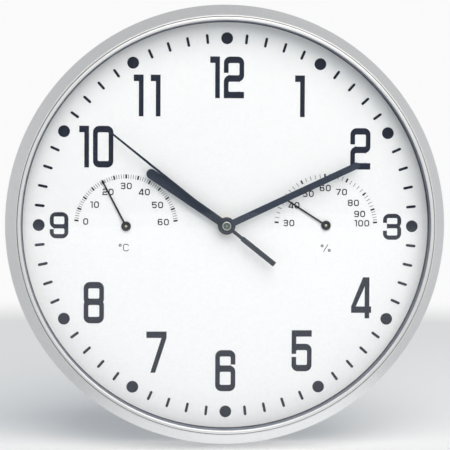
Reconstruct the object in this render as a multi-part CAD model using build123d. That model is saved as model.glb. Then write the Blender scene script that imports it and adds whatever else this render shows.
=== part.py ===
"""Round wall clock with a thermometer and a hygrometer let into its dial.

The clock hangs flat on a wall. The wall is the plane y = 0 and the dial faces -Y, with
+X to the right and +Z up. The origin is where the axis of the hands meets the wall.
Every height below is a distance from the wall, so it is minus the Y coordinate.
All lengths are in millimetres and all angles in degrees, clockwise from twelve.
"""
import math
import os

from build123d import *

# Rim
case_radius = 150.0
case_depth = 40.0
case_wall = 2.2
skirt_draft = 0.8
band_width = 12.3
band_height = 17.9
band_drop = 1.2
band_blend = 2.5
lip_width = 2.3
lip_overlap = 3.6
lip_thickness = 1.6
lip_round = 0.75
groove_width = 0.6
groove_depth = 0.5
recess_wall = 1.8

# Stack behind the lip, from front to back
lens_thickness = 2.0
spacer_height = 5.2
seal_height = 5.2
dial_thickness = 0.6
plate_thickness = 2.4
plate_step = 5.0
gasket_thickness = 1.0
stack_clearance = 0.3
ring_inset = 0.1

# Back plate
skirt_clearance = 0.3
plate_ring_wall = 2.0
rib_count = 6
rib_thickness = 1.6
rib_depth = 3.0
rib_hub_radius = 45.0
frame_wall = 1.6
frame_depth = 4.0
frame_clearance = 0.3

# Screws of the back plate
screw_count = 6
screw_first_angle = 30.0
screw_radius = 1.05
screw_head_radius = 2.0
screw_head_height = 1.6
screw_bite = 7.2
screw_hole_spare = 0.8
screw_boss_radius = 2.75
screw_slot_width = 0.5
screw_slot_depth = 0.7
screw_clearance = 0.2

# Print on the dial
print_thickness = 0.1
track_inset = 10.9
dot_radius = 4.0
bar_length = 6.7
bar_width = 1.8
hour_count = 12
minutes_per_hour = 5

# Hour numerals, drawn from uprights, bars and rounded corners
numeral_inset = 26.8
numeral_height = 28.1
numeral_width = 13.7
numeral_stem = 3.15
numeral_bar = 4.35
numeral_corner = 4.3
numeral_inner_corner = 0.9
numeral_gap = 2.7
short_numeral_height = 17.7
short_numeral_width = 12.5
short_numeral_stem = 2.7
short_numeral_bar = 2.9
one_width_share = 0.482
double_one_gap_share = 1.8

# Each share is of numeral_ring: the centre of every hour numeral, across and up
numeral_place_shares = {
    "12": (0.001, 1.004), "1": (0.496, 0.880), "2": (0.911, 0.526), "3": (1.133, -0.004),
    "4": (0.925, -0.490), "5": (0.519, -0.853), "6": (-0.002, -0.989), "7": (-0.471, -0.862),
    "8": (-0.896, -0.525), "9": (-1.131, -0.001), "10": (-0.881, 0.531), "11": (-0.539, 0.878),
}

# Shares of a digit's height or width that set where its strokes meet
waist_shares = {"2": 0.475, "3": 0.525, "5": 0.593, "6": 0.550, "8": 0.520, "9": 0.460}
hook_share = 0.35
small_hook_share = 0.20
two_hook_share = 1.12
roundest_share = 0.96
five_stem_share = 0.425
four_bar_share = 0.134
four_stem_share = 0.906
four_top_share = 0.583
four_eye_share = 0.49
seven_foot_shares = (0.20, 0.44)
seven_neck_share = 0.25

# Small scales of the two instruments. The reach is a share of numeral_ring, the rings and
# heights are shares of the scale's radius, and strokes and gaps are shares of a height.
# Every number has its own ring, because the print sets them by eye.
instrument_reach_share = 0.679
thermometer_rise = -0.6
hygrometer_rise = 0.4
scale_gap = 4.05
tick_length = 2.8
major_tick_width = 1.10
minor_tick_width = 0.32
thermometer_ring_shares = {
    0: 0.782, 10: 0.733, 20: 0.747, 30: 0.776, 40: 0.747, 50: 0.731, 60: 0.722,
}
hygrometer_ring_shares = {
    30: 0.723, 40: 0.734, 50: 0.704, 60: 0.725, 70: 0.714, 80: 0.690, 90: 0.694, 100: 0.704,
}
digit_height_share = 0.124
digit_width_share = 0.759
digit_stroke_share = 0.160
digit_corner_share = 0.320
digit_inner_share = 0.170
digit_gap_share = 0.207
unit_drop_share = 0.430
unit_height_share = 0.1425
unit_width_share = 0.80
unit_stroke_share = 0.11
unit_gap_share = 0.20
unit_ring_share = 0.19
slash_lean_share = 0.30
thermometer_swing = 83.5
thermometer_span = 60
thermometer_major = 5
hygrometer_minor = 2
hygrometer_angles = {
    30: -86.6, 40: -58.1, 50: -29.6, 60: -1.4, 70: 24.8, 80: 50.5, 90: 71.1, 100: 86.4,
}

# Pointers and the instruments behind them
pointer_lift = 0.7
pointer_thickness = 0.5
pointer_hub_radius = 3.25
pointer_overreach = 0.1
pointer_root_width = 1.3
pointer_neck_width = 1.0
pointer_head_width = 2.2
pointer_head_length = 3.2
pin_radius = 0.85
pin_stand = 0.5
thermometer_reading_angle = -27.65
hygrometer_reading_angle = -57.3
cup_radius = 13.0
cup_wall = 1.0
cup_depth = 10.0
cup_flange = 2.5
cup_flange_thickness = 1.2
window_clearance = 0.3
cap_thickness = 1.0
cap_pocket = 0.6
vent_count = 6
vent_length = 5.0
vent_width = 1.4
vent_ring = 7.5
dial_eye_radius = 1.6
strip_thickness = 0.35
strip_width = 3.0
strip_gap = 0.15
strip_pitch = 1.9
strip_half_turns = 8
strip_lift = 2.6
strip_post_radius = 0.9
collet_radius = 1.4

# Running and seating clearances
running_fit = 0.05
seat_fit = 0.02
end_play = 0.2

# Hands
hand_hub_radius = 5.9
hour_hand_lift = 4.2
hour_hand_thickness = 1.0
hour_hand_length = 65.0
hour_hand_root_width = 5.4
hour_hand_tip_width = 6.8
hour_hand_angle = -55.6
minute_hand_lift = 6.4
minute_hand_thickness = 0.8
minute_hand_length = 99.0
minute_hand_root_width = 4.6
minute_hand_tip_width = 4.4
minute_hand_angle = 64.9
second_hand_lift = 8.0
second_hand_thickness = 0.6
second_hand_length = 101.0
second_hand_root_width = 2.2
second_hand_tip_width = 1.3
second_hub_radius = 4.2
second_tail_length = 41.5
second_shank_length = 13.3
second_shank_width = 2.3
second_bar_width = 3.5
second_hand_angle = -51.35
tube_radius = 2.95
tube_rim = 0.95
tube_height = 0.9
tube_floor = 0.3
tube_neck_radius = 1.1
tube_neck_length = 0.5

# Clamp that holds the movement to the dial
bushing_radius = 3.8
bushing_reach = 3.5
bushing_flange_radius = 5.5
bushing_flange_thickness = 1.2
bushing_clearance = 0.2
gasket_radius = 9.0
washer_radius = 5.6
washer_thickness = 0.5
nut_across_flats = 10.0
nut_thickness = 2.0

# Movement box
movement_side = 56.0
movement_depth = 16.0
movement_wall = 1.2
divider_wall = 0.8
lug_side = 2.0
lug_height = 1.0
lug_clearance = 0.1
pivot_depth = 0.8
pivot_boss_wall = 0.7

# Hanging tab
tab_width = 16.0
tab_length = 12.0
tab_thickness = 0.8
tab_foot = 8.0
tab_corner = 5.0
hang_hole_radius = 3.0
hang_hole_rise = 5.5

# Battery and contacts, a standard small round cell
battery_radius = 7.25
battery_spring_gap = 2.7
battery_nub_radius = 2.75
battery_nub_length = 1.0
battery_clearance = 0.15
contact_thickness = 0.4
contact_height = 9.0

# Gear train: the tooth counts and the distances between the arbors
rotor_teeth = 12
intermediate_teeth = 60
intermediate_pinion_teeth = 10
seconds_teeth = 60
seconds_pinion_teeth = 8
third_teeth = 60
third_pinion_teeth = 8
centre_teeth = 64
cannon_teeth = 12
minute_wheel_teeth = 36
minute_pinion_teeth = 10
hour_wheel_teeth = 40
setting_teeth = 12
rotor_distance = 9.0
intermediate_distance = 12.2
third_distance = 11.5
minute_distance = 10.8
rotor_bearing = 65.0
intermediate_bearing = 10.0
third_bearing = -60.0
minute_bearing = 75.0
setting_bearing = 100.0
tooth_width_share = 1.1
tooth_tip_share = 0.55
tooth_root_share = 1.45
addendum_share = 0.8
dedendum_share = 1.25

# Rear and front face of each wheel and pinion, as shares of the gear chamber's depth
wheel_level_shares = {
    "intermediate_wheel": (0.044, 0.118), "intermediate_pinion": (0.118, 0.265),
    "seconds_wheel": (0.162, 0.250), "seconds_pinion": (0.250, 0.426),
    "third_wheel": (0.279, 0.368), "third_pinion": (0.368, 0.610),
    "centre_wheel": (0.500, 0.574), "cannon_pinion": (0.582, 0.728),
    "minute_wheel": (0.618, 0.706), "minute_pinion": (0.706, 0.868),
    "hour_wheel": (0.765, 0.853), "rotor_pinion": (0.044, 0.162), "magnet": (0.162, 0.382),
    "stator": (0.228, 0.287), "board": (0.088, 0.147),
}

# Rear end of each front bearing boss and of the minute wheel's stud, as such shares
boss_level_shares = {
    "third": 0.662, "intermediate": 0.382, "rotor": 0.471, "setting": 0.809, "stud": 0.618,
}
arbor_radius = 0.5
seconds_pin_radius = 0.525
minute_pipe_radius = 1.75
hour_pipe_radius = 2.55
stud_radius = 0.6

# Motor
magnet_radius = 2.8
stator_gap = 0.4
stator_pad = 8.4
stator_arm = 2.0
core_width = 3.0
core_left = -19.0
core_right = 16.5
core_rise = 23.3
core_clearance = 0.1
bobbin_left = -15.0
bobbin_right = 11.0
bobbin_flange = 0.8
bobbin_half = 3.2
bobbin_wall = 0.6
winding_half = 2.9
winding_round = 0.9
winding_clearance = 0.05
post_radius = 1.1

# Circuit board
board_left = 17.8
board_right = 26.2
board_low = 4.6
board_high = 26.0
chip_side = 4.5
chip_height = 1.0
chip_rise = 9.0
crystal_radius = 1.0
crystal_length = 6.0
crystal_rise = 20.5

# Setting knob
knob_radius = 5.0
knob_height = 2.4
knob_gap = 0.3
knob_flutes = 12
knob_flute_radius = 0.7
setting_shaft_radius = 1.2

# One overrun serves every cut
overrun = 1.0

# Radii that follow from the rim
skirt_base_radius = case_radius - skirt_draft
opening_radius = case_radius - band_width
recess_radius = opening_radius + lip_overlap
track_radius = opening_radius - track_inset
numeral_ring = track_radius - numeral_inset
band_foot_height = case_depth - band_height

# Heights that follow from the stack
lens_top = case_depth - lip_thickness
lens_low = lens_top - lens_thickness
spacer_low = lens_low - spacer_height
dial_top = spacer_low - seal_height
dial_low = dial_top - dial_thickness
plate_low = dial_low - plate_thickness
flange_top = plate_low - plate_step
flange_low = flange_top - plate_thickness
movement_top = plate_low - gasket_thickness
movement_low = movement_top - movement_depth
chamber_top = movement_top - movement_wall
cover_top = movement_low + movement_wall
plate_radius = recess_radius - stack_clearance
skirt_inner_radius = case_radius - case_wall
flange_radius = skirt_inner_radius - skirt_clearance
screw_ring = (recess_radius + recess_wall + skirt_inner_radius) / 2
movement_half = movement_side / 2
chamber_half = movement_half - movement_wall
chamber_depth = chamber_top - cover_top
divider_low = 2 * (battery_radius + battery_clearance) - chamber_half
divider_top = divider_low + divider_wall
bushing_top = dial_top + bushing_reach
hour_hand_low = dial_top + hour_hand_lift
minute_hand_low = dial_top + minute_hand_lift
second_hand_low = dial_top + second_hand_lift


def level(share):
    """Height above the wall of a share of the gear chamber's depth."""
    return cover_top + chamber_depth * share


# Helpers that draw on a plane parallel to the wall and raise solids towards the viewer
def lift(sketch, low, high):
    """Extrude a flat drawing between two heights above the wall."""
    return extrude(Plane.XZ.offset(low) * sketch, high - low)


def disc(radius, low, high, at=(0, 0)):
    """A round plate."""
    return lift(Pos(*at) * Circle(radius), low, high)


def ring(outer, inner, low, high, at=(0, 0)):
    """A round plate with a round hole."""
    return lift(Pos(*at) * (Circle(outer) - Circle(inner)), low, high)


def span(left, right, low, high):
    """A rectangle given by its edges."""
    return Pos((left + right) / 2, (low + high) / 2) * Rectangle(right - left, high - low)


def block(left, right, bottom, top, low, high):
    """A box given by its edges and its two heights."""
    return lift(span(left, right, bottom, top), low, high)


def turned(points, radii=None):
    """Turn a closed outline of (radius, height) points about the axis of the hands."""
    outline = [(radius, -height) for radius, height in points]
    if radii is None:
        edge = Polyline(*outline, close=True)
    else:
        edge = FilletPolyline(*outline, radius=radii, close=True)
    return revolve(make_face(edge), Axis.Y)


def polar(distance, angle, centre=(0, 0)):
    """A point at a clockwise angle from twelve."""
    turn = math.radians(angle)
    return (centre[0] + distance * math.sin(turn), centre[1] + distance * math.cos(turn))


def turn_to(angle, sketch):
    """Turn a drawing clockwise."""
    return Rot(0, 0, -angle) * sketch


def group(solids):
    """Keep separate solids together under one name."""
    return Compound(children=list(solids))


# Rim, lens and the rings between lens and dial
lip_outer_radius = opening_radius + lip_width
band_top_radius = lip_outer_radius + groove_width
band_top_height = case_depth - band_drop
band_slope = (band_top_height - band_foot_height) / (case_radius - band_top_radius)
band_under_drop = case_wall * math.hypot(1, band_slope)


def underside(radius):
    """Height of the inner face of the sloping band at a radius."""
    return band_foot_height + (case_radius - radius) * band_slope - band_under_drop


def make_bezel():
    """The rim: skirt, sloping band, groove, rolled lip and the wall around the lens."""
    outline = [
        (skirt_base_radius, 0),
        (case_radius, band_foot_height),
        (band_top_radius, band_top_height),
        (lip_outer_radius, band_top_height - groove_depth),
        (lip_outer_radius, case_depth),
        (opening_radius, case_depth),
        (opening_radius, lens_top),
        (recess_radius, lens_top),
        (recess_radius, flange_top),
        (skirt_inner_radius, flange_top),
        (skirt_base_radius - case_wall, 0),
    ]
    radii = [0, band_blend, groove_width / 2, 0, lip_round, lip_round, 0, 0, 0, 0, 0]
    wall_outer = recess_radius + recess_wall
    hollow = turned([
        (wall_outer, flange_top),
        (skirt_inner_radius, flange_top),
        (skirt_inner_radius, underside(skirt_inner_radius)),
        (wall_outer, underside(wall_outer)),
    ])
    boss_top = underside(wall_outer)
    for place in screw_places():
        hollow -= disc(screw_boss_radius, flange_top, boss_top, place)
    bezel = turned(outline, radii) - hollow
    hole_top = flange_top + screw_bite + screw_hole_spare
    for place in screw_places():
        bezel -= disc(screw_radius + running_fit, flange_top - overrun, hole_top, place)
    return bezel


def screw_places():
    """Centres of the screws that hold the back plate."""
    step = 360 / screw_count
    return [polar(screw_ring, screw_first_angle + step * index) for index in range(screw_count)]


def make_dial():
    """The dial plate with a hole for the clamp and one for each instrument's pin."""
    plate = disc(plate_radius, dial_low, dial_top)
    plate -= disc(bushing_radius + bushing_clearance, dial_low - overrun, dial_top + overrun)
    for place in instrument_places.values():
        plate -= disc(dial_eye_radius, dial_low - overrun, dial_top + overrun, place)
    return plate


def make_back_plate():
    """The stepped rear plate: floor under the dial, ring wall, screwed flange and ribs."""
    ring_inner = plate_radius - plate_ring_wall
    plate = turned([
        (0, plate_low),
        (ring_inner, plate_low),
        (ring_inner, flange_low),
        (flange_radius, flange_low),
        (flange_radius, flange_top),
        (plate_radius, flange_top),
        (plate_radius, dial_low),
        (0, dial_low),
    ])
    for index in range(rib_count):
        angle = 360 / rib_count * index
        rib = span(-rib_thickness / 2, rib_thickness / 2, rib_hub_radius, ring_inner)
        plate += lift(turn_to(angle, rib), plate_low - rib_depth, plate_low)
    inner = movement_half + frame_clearance
    outer = inner + frame_wall
    frame = span(-outer, outer, -outer, outer) - span(-inner, inner, -inner, inner)
    plate += lift(frame, plate_low - frame_depth, plate_low)
    cut_low = flange_low - overrun
    cut_high = dial_low + overrun
    plate -= disc(bushing_radius + bushing_clearance, cut_low, cut_high)
    for place in instrument_places.values():
        plate -= disc(cup_radius + window_clearance, cut_low, cut_high, place)
    for place in screw_places():
        plate -= disc(screw_radius + screw_clearance, cut_low, flange_top + overrun, place)
    return plate


def make_case_screws():
    """Slotted pan-head screws, all alike."""
    screws = []
    head_low = flange_low - screw_head_height
    for place in screw_places():
        screw = disc(screw_head_radius, head_low, flange_low, place)
        screw += disc(screw_radius, flange_low, flange_top + screw_bite, place)
        slot = Pos(*place) * Rectangle(2 * screw_head_radius + overrun, screw_slot_width)
        screw -= lift(slot, head_low - overrun, head_low + screw_slot_depth)
        screws.append(screw)
    return group(screws)


# Digits
def loop(left, right, low, high, stroke):
    """A rounded rectangular ring: the closed part of a digit."""
    stem, bar, corner, inner_corner = stroke[:4]
    width, height = right - left, high - low
    inner_width, inner_height = width - 2 * stem, height - 2 * bar
    corner = min(corner, roundest_share * min(width, height) / 2)
    inner_corner = min(inner_corner, roundest_share * min(inner_width, inner_height) / 2)
    outer = RectangleRounded(width, height, corner)
    inner = RectangleRounded(inner_width, inner_height, inner_corner)
    return Pos((left + right) / 2, (low + high) / 2) * (outer - inner)


def polygon(points):
    """A flat face with straight edges."""
    return make_face(Polyline(*points, close=True))


def digit_one(side, top, stroke):
    stem, bar = stroke[:2]
    return span(side - stem, side, -top, top) + span(-side, side, top - bar, top)


def digit_four(side, top, stroke):
    stem, bar = stroke[:2]
    bar_low = -top + 2 * top * four_bar_share
    bar_top = bar_low + bar
    stem_right = -side + 2 * side * four_stem_share
    stem_left = stem_right - stem
    peak = -side + 2 * side * four_top_share
    eye_top = bar_top + 2 * top * four_eye_share
    face = polygon([(-side, bar_top), (peak, top), (stem_right, top), (stem_right, bar_top)])
    face -= polygon([(stem - side, bar_top), (stem_left, bar_top), (stem_left, eye_top)])
    return face + span(-side, side, bar_low, bar_top) + span(stem_left, stem_right, -top, bar_top)


def digit_seven(side, top, stroke):
    bar = stroke[1]
    foot_left, foot_right = [-side + 2 * side * share for share in seven_foot_shares]
    neck = side - 2 * side * seven_neck_share
    leg = polygon([(foot_left, -top), (foot_right, -top), (side, top - bar), (neck, top - bar)])
    return leg + span(-side, side, top - bar, top)


def digit(figure, width, height, stroke):
    """One digit, centred, from its uprights, bars and rounded corners."""
    side, top = width / 2, height / 2
    stem, bar = stroke[:2]
    if figure == "0":
        return loop(-side, side, -top, top, stroke)
    if figure == "1":
        return digit_one(side * one_width_share, top, stroke)
    if figure == "4":
        return digit_four(side, top, stroke)
    if figure == "7":
        return digit_seven(side, top, stroke)
    waist = height * waist_shares[figure] - top
    hook = height * stroke[4]
    waist_low, waist_top = waist - bar / 2, waist + bar / 2
    upper = loop(-side, side, waist_low, top, stroke)
    lower = loop(-side, side, -top, waist_top, stroke)
    left_edge, right_edge = stem - side, side - stem
    back_low, back_top = (waist - top) / 2, (waist + top) / 2
    if figure == "8":
        return upper + lower
    if figure == "6":
        back = span(-side, left_edge, back_low, back_top)
        return (upper - span(right_edge, side, waist_low, top - hook)) + lower + back
    if figure == "9":
        back = span(right_edge, side, back_low, back_top)
        return upper + (lower - span(-side, left_edge, hook - top, waist_top)) + back
    if figure == "3":
        return (upper + lower) - span(-side, left_edge, hook - top, top - hook)
    if figure == "2":
        head = upper - span(-side, left_edge, waist_low, top - hook * two_hook_share)
        body = lower - span(right_edge, side, bar - top, waist_top)
        return head + body + span(-side, side, -top, bar - top)
    stem_foot = height * five_stem_share - top
    bowl = lower - span(-side, left_edge, hook - top, stem_foot)
    return bowl + span(-side, left_edge, stem_foot, top) + span(-side, side, top - bar, top)


def figure_width(figure, width):
    """The digit one is narrower than the others."""
    return width * one_width_share if figure == "1" else width


def number(text, width, height, stroke, gap):
    """The digits of a number, side by side and centred as a whole."""
    widths = [figure_width(figure, width) for figure in text]
    gap = gap * double_one_gap_share if text == "11" else gap
    cursor = -(sum(widths) + gap * (len(text) - 1)) / 2
    sketches = []
    for figure, own_width in zip(text, widths):
        sketches.append(Pos(cursor + own_width / 2, 0) * digit(figure, width, height, stroke))
        cursor += own_width + gap
    return sketches


def printed(sketch):
    """A layer of ink on the dial."""
    return lift(sketch, dial_top, dial_top + print_thickness)


def make_hour_numerals():
    corners = (numeral_corner, numeral_inner_corner, hook_share)
    tall = (numeral_stem, numeral_bar, *corners)
    short = (short_numeral_stem, short_numeral_bar, *corners)
    inks = []
    for text, shares in numeral_place_shares.items():
        place = Pos(shares[0] * numeral_ring, shares[1] * numeral_ring)
        if text in ("3", "9"):
            sketches = number(text, short_numeral_width, short_numeral_height, short, numeral_gap)
        else:
            sketches = number(text, numeral_width, numeral_height, tall, numeral_gap)
        inks += [printed(place * sketch) for sketch in sketches]
    return group(inks)


def make_minute_track():
    """A dot at each hour and a short rounded bar at each minute between."""
    inks = []
    minute_count = hour_count * minutes_per_hour
    for minute in range(minute_count):
        angle = 360 / minute_count * minute
        if minute % minutes_per_hour == 0:
            inks.append(printed(Pos(*polar(track_radius, angle)) * Circle(dot_radius)))
        else:
            bar = Pos(0, track_radius) * SlotOverall(bar_length, bar_width, rotation=90)
            inks.append(printed(turn_to(angle, bar)))
    return group(inks)


# Scales, pointers and insides of the two instruments
instrument_reach = instrument_reach_share * numeral_ring
instrument_places = {
    "thermometer": (-instrument_reach, thermometer_rise),
    "hygrometer": (instrument_reach, hygrometer_rise),
}
three_left_edge = numeral_place_shares["3"][0] * numeral_ring - short_numeral_width / 2
scale_outer_radius = three_left_edge - scale_gap - instrument_reach
scale_inner_radius = scale_outer_radius - tick_length
pointer_length = scale_outer_radius + pointer_overreach


def tick(place, angle, width):
    bar = span(-width / 2, width / 2, scale_inner_radius, scale_outer_radius)
    return printed(Pos(*place) * turn_to(angle, bar))


def scale_label(place, angle, ring_share, value):
    """A small number inside the ring of marks."""
    height = scale_outer_radius * digit_height_share
    line = height * digit_stroke_share
    corners = (height * digit_corner_share, height * digit_inner_share)
    stroke = (line, line, *corners, small_hook_share)
    centre = polar(scale_outer_radius * ring_share, angle, place)
    sketches = number(str(value), height * digit_width_share, height, stroke,
                      height * digit_gap_share)
    return [printed(Pos(*centre) * sketch) for sketch in sketches]


def thermometer_angle(degrees):
    return thermometer_swing * (2 * degrees / thermometer_span - 1)


unit_height = scale_outer_radius * unit_height_share
unit_stroke = unit_height * unit_stroke_share
unit_ring_radius = unit_height * unit_ring_share


def unit_mark(place, sketches):
    """The sign of the unit, below the pointer's pin."""
    centre = (place[0], -scale_outer_radius * unit_drop_share)
    return [printed(Pos(*centre) * sketch) for sketch in sketches]


def make_thermometer_scale():
    """Degree marks from 0 to 60 with a number every ten and the unit below."""
    place = instrument_places["thermometer"]
    inks = []
    for degrees in range(thermometer_span + 1):
        width = minor_tick_width if degrees % thermometer_major else major_tick_width
        inks.append(tick(place, thermometer_angle(degrees), width))
    for degrees, ring_share in thermometer_ring_shares.items():
        inks += scale_label(place, thermometer_angle(degrees), ring_share, degrees)
    corner, inner_corner = unit_height * digit_corner_share, unit_height * digit_inner_share
    stroke = (unit_stroke, unit_stroke, corner, inner_corner)
    side, top = unit_height * unit_width_share / 2, unit_height / 2
    letter = loop(-side, side, -top, top, stroke)
    letter -= span(side - unit_stroke, side, -top / 2, top / 2)
    degree = Circle(unit_ring_radius) - Circle(unit_ring_radius - unit_stroke)
    degree_left = -side - unit_height * unit_gap_share - unit_ring_radius
    degree = Pos(degree_left, top - unit_ring_radius) * degree
    inks += unit_mark(place, [letter, degree])
    return group(inks)


def make_hygrometer_scale():
    """Percent marks from 30 to 100, closer together towards the damp end."""
    place = instrument_places["hygrometer"]
    tens = sorted(hygrometer_angles)
    inks = []
    for low, high in zip(tens, tens[1:]):
        step = (hygrometer_angles[high] - hygrometer_angles[low]) / (high - low)
        for value in range(low, high, hygrometer_minor):
            width = minor_tick_width if value > low else major_tick_width
            angle = hygrometer_angles[low] + step * (value - low)
            inks.append(tick(place, angle, width))
    inks.append(tick(place, hygrometer_angles[tens[-1]], major_tick_width))
    for value, angle in hygrometer_angles.items():
        inks += scale_label(place, angle, hygrometer_ring_shares[value], value)
    eye = Circle(unit_ring_radius) - Circle(unit_ring_radius - unit_stroke)
    lean = unit_height * slash_lean_share
    top, half_stroke = unit_height / 2, unit_stroke / 2
    slash = polygon([
        (-lean - half_stroke, -top), (-lean + half_stroke, -top),
        (lean + half_stroke, top), (lean - half_stroke, top),
    ])
    eye_place = (lean + unit_ring_radius, top - unit_ring_radius)
    upper = Pos(-eye_place[0], eye_place[1]) * eye
    lower = Pos(eye_place[0], -eye_place[1]) * eye
    inks += unit_mark(place, [slash, upper, lower])
    return group(inks)


pointer_low = dial_top + pointer_lift
pointer_top = pointer_low + pointer_thickness
cup_low = dial_low - cup_depth
cap_low = cup_low - cap_thickness
strip_inner_radius = collet_radius + strip_pitch / 4 + strip_gap


def make_pointer(place, angle):
    """A thin needle with a hub disc and a lozenge head."""
    half_root, half_neck = pointer_root_width / 2, pointer_neck_width / 2
    half_head = pointer_head_width / 2
    neck = pointer_length - pointer_head_length
    needle = polygon([
        (-half_root, 0), (-half_neck, neck), (-half_head, neck + pointer_head_length / 2),
        (0, pointer_length), (half_head, neck + pointer_head_length / 2), (half_neck, neck),
        (half_root, 0),
    ])
    sketch = needle + Circle(pointer_hub_radius) - Circle(pin_radius + seat_fit)
    return lift(Pos(*place) * turn_to(angle, sketch), pointer_low, pointer_top)


def make_instrument_arbor(place):
    """The pin that carries the pointer, with a collet at the strip's height."""
    strip_low = cup_low + strip_lift
    arbor = disc(pin_radius, cup_low - cap_pocket + end_play, pointer_top + pin_stand, place)
    return arbor + disc(collet_radius, strip_low, strip_low + strip_width, place)


def make_instrument_cup(place):
    """The housing behind the dial, open at the rear, with a flange on the back plate."""
    cup = disc(cup_radius, cup_low, dial_low, place)
    cup -= disc(cup_radius - cup_wall, cup_low - overrun, dial_low - cup_wall, place)
    cup += ring(cup_radius + cup_flange, cup_radius - cup_wall,
                plate_low - cup_flange_thickness, plate_low, place)
    cup -= disc(pin_radius + running_fit, cup_low, dial_low + overrun, place)
    post = (place[0] - strip_post_reach(), place[1])
    return cup + disc(strip_post_radius, cup_low, dial_low - cup_wall, post)


def strip_post_reach():
    """Distance of the strip's post from the pin: just outside the last half turn."""
    last = strip_inner_radius + strip_pitch / 2 * (strip_half_turns - 1)
    return last + strip_thickness + strip_pitch / 4 + seat_fit + strip_post_radius


def make_instrument_cap(place):
    """The rear cap of a cup, with a pocket for the pin and slots that let air in."""
    cap = disc(cup_radius, cap_low, cup_low, place)
    cap -= disc(pin_radius + running_fit, cup_low - cap_pocket, cup_low + overrun, place)
    for index in range(vent_count):
        slot = Pos(0, vent_ring) * SlotOverall(vent_length, vent_width, rotation=90)
        slot = Pos(*place) * turn_to(360 / vent_count * index, slot)
        cap -= lift(slot, cap_low - overrun, cup_low + overrun)
    return cap


def make_strip_coil(place):
    """A flat spiral strip of half turns whose centres alternate about the pin."""
    strip_low = cup_low + strip_lift
    half = strip_thickness / 2
    reach = strip_pitch * strip_half_turns
    spiral = None
    for index in range(strip_half_turns):
        radius = strip_inner_radius + half + strip_pitch / 2 * index
        upward = index % 2 == 0
        shift = strip_pitch / 4 if upward else -strip_pitch / 4
        side = span(-reach, reach, 0, reach) if upward else span(-reach, reach, -reach, 0)
        turn = Pos(shift, 0) * (Circle(radius + half) - Circle(radius - half)) & side
        spiral = turn if spiral is None else spiral + turn
    return lift(Pos(*place) * spiral, strip_low, strip_low + strip_width)


# Hands
def hand_blade(length, root_width, tip_width):
    """A tapering blade with a round tip."""
    half_root, half_tip = root_width / 2, tip_width / 2
    shoulder = length - half_tip
    blade = polygon([(-half_root, 0), (-half_tip, shoulder), (half_tip, shoulder), (half_root, 0)])
    return blade + Pos(0, shoulder) * Circle(half_tip)


def make_hour_hand():
    blade = hand_blade(hour_hand_length, hour_hand_root_width, hour_hand_tip_width)
    sketch = blade + Circle(hand_hub_radius) - Circle(hour_pipe_radius + seat_fit)
    low = hour_hand_low
    return lift(turn_to(hour_hand_angle, sketch), low, low + hour_hand_thickness)


def make_minute_hand():
    blade = hand_blade(minute_hand_length, minute_hand_root_width, minute_hand_tip_width)
    sketch = blade + Circle(hand_hub_radius) - Circle(minute_pipe_radius + seat_fit)
    low = minute_hand_low
    return lift(turn_to(minute_hand_angle, sketch), low, low + minute_hand_thickness)


def make_second_hand():
    """A needle, a hub disc and a counterweight tail."""
    half_root, half_tip = second_hand_root_width / 2, second_hand_tip_width / 2
    needle = polygon([
        (-half_root, 0), (-half_tip, second_hand_length), (half_tip, second_hand_length),
        (half_root, 0),
    ])
    shank = span(-second_shank_width / 2, second_shank_width / 2, -second_shank_length, 0)
    bar = span(-second_bar_width / 2, second_bar_width / 2,
               -second_tail_length, -second_shank_length)
    sketch = needle + shank + bar + Circle(second_hub_radius)
    sketch -= Circle(tube_neck_radius + seat_fit)
    low = second_hand_low
    return lift(turn_to(second_hand_angle, sketch), low, low + second_hand_thickness)


def make_second_tube():
    """The metal eyelet that grips the seconds pin: neck, floor and a raised rim."""
    top = second_hand_low + second_hand_thickness
    tube = disc(tube_neck_radius, second_hand_low - tube_neck_length, top)
    tube += disc(tube_radius, top, top + tube_height)
    tube -= disc(tube_radius - tube_rim, top + tube_floor, top + tube_height + overrun)
    tube -= disc(seconds_pin_radius + seat_fit, second_hand_low - tube_neck_length - overrun,
                 top + tube_height + overrun)
    return tube


# Clamp
def make_bushing():
    bushing = disc(bushing_radius, chamber_top, bushing_top)
    bushing += disc(bushing_flange_radius, chamber_top - bushing_flange_thickness, chamber_top)
    return bushing - disc(hour_pipe_radius + running_fit, chamber_top - bushing_flange_thickness - overrun,
                          bushing_top + overrun)


def make_nut():
    low = dial_top + washer_thickness
    hexagon = RegularPolygon(nut_across_flats / 2, 6, major_radius=False)
    return lift(hexagon - Circle(bushing_radius + running_fit), low, low + nut_thickness)


# Gears
def gear_face(teeth, module, phase):
    """A toothed disc. One tooth points along the phase angle, clockwise from twelve."""
    pitch = teeth * module / 2
    root, tip = pitch - dedendum_share * module, pitch + addendum_share * module
    half_root = tooth_root_share * module / 2
    half_pitch = tooth_width_share * module / 2
    half_tip = tooth_tip_share * module / 2
    profile = [(root, -half_root), (pitch, -half_pitch), (tip, -half_tip),
               (tip, half_tip), (pitch, half_pitch), (root, half_root)]
    points = []
    for index in range(teeth):
        angle = phase + 360 / teeth * index
        for radius, sideways in profile:
            points.append(polar(radius, angle + math.degrees(sideways / radius)))
    return polygon(points)


def module_for(distance, teeth, other_teeth):
    """Tooth size that makes two wheels mesh at a distance."""
    return 2 * distance / (teeth + other_teeth)


def gap_phase(bearing, phase, teeth, other_teeth):
    """Phase of the second wheel so that its gap meets the first wheel's tooth."""
    return bearing + 180 - (phase - bearing) * teeth / other_teeth + 180 / other_teeth


centre_place = (0, 0)
intermediate_place = polar(intermediate_distance, intermediate_bearing)
rotor_place = polar(rotor_distance, rotor_bearing, intermediate_place)
third_place = polar(third_distance, third_bearing)
minute_place = polar(minute_distance, minute_bearing)
setting_place = polar(minute_distance, setting_bearing, minute_place)
arbor_low = cover_top - pivot_depth + end_play

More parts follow.
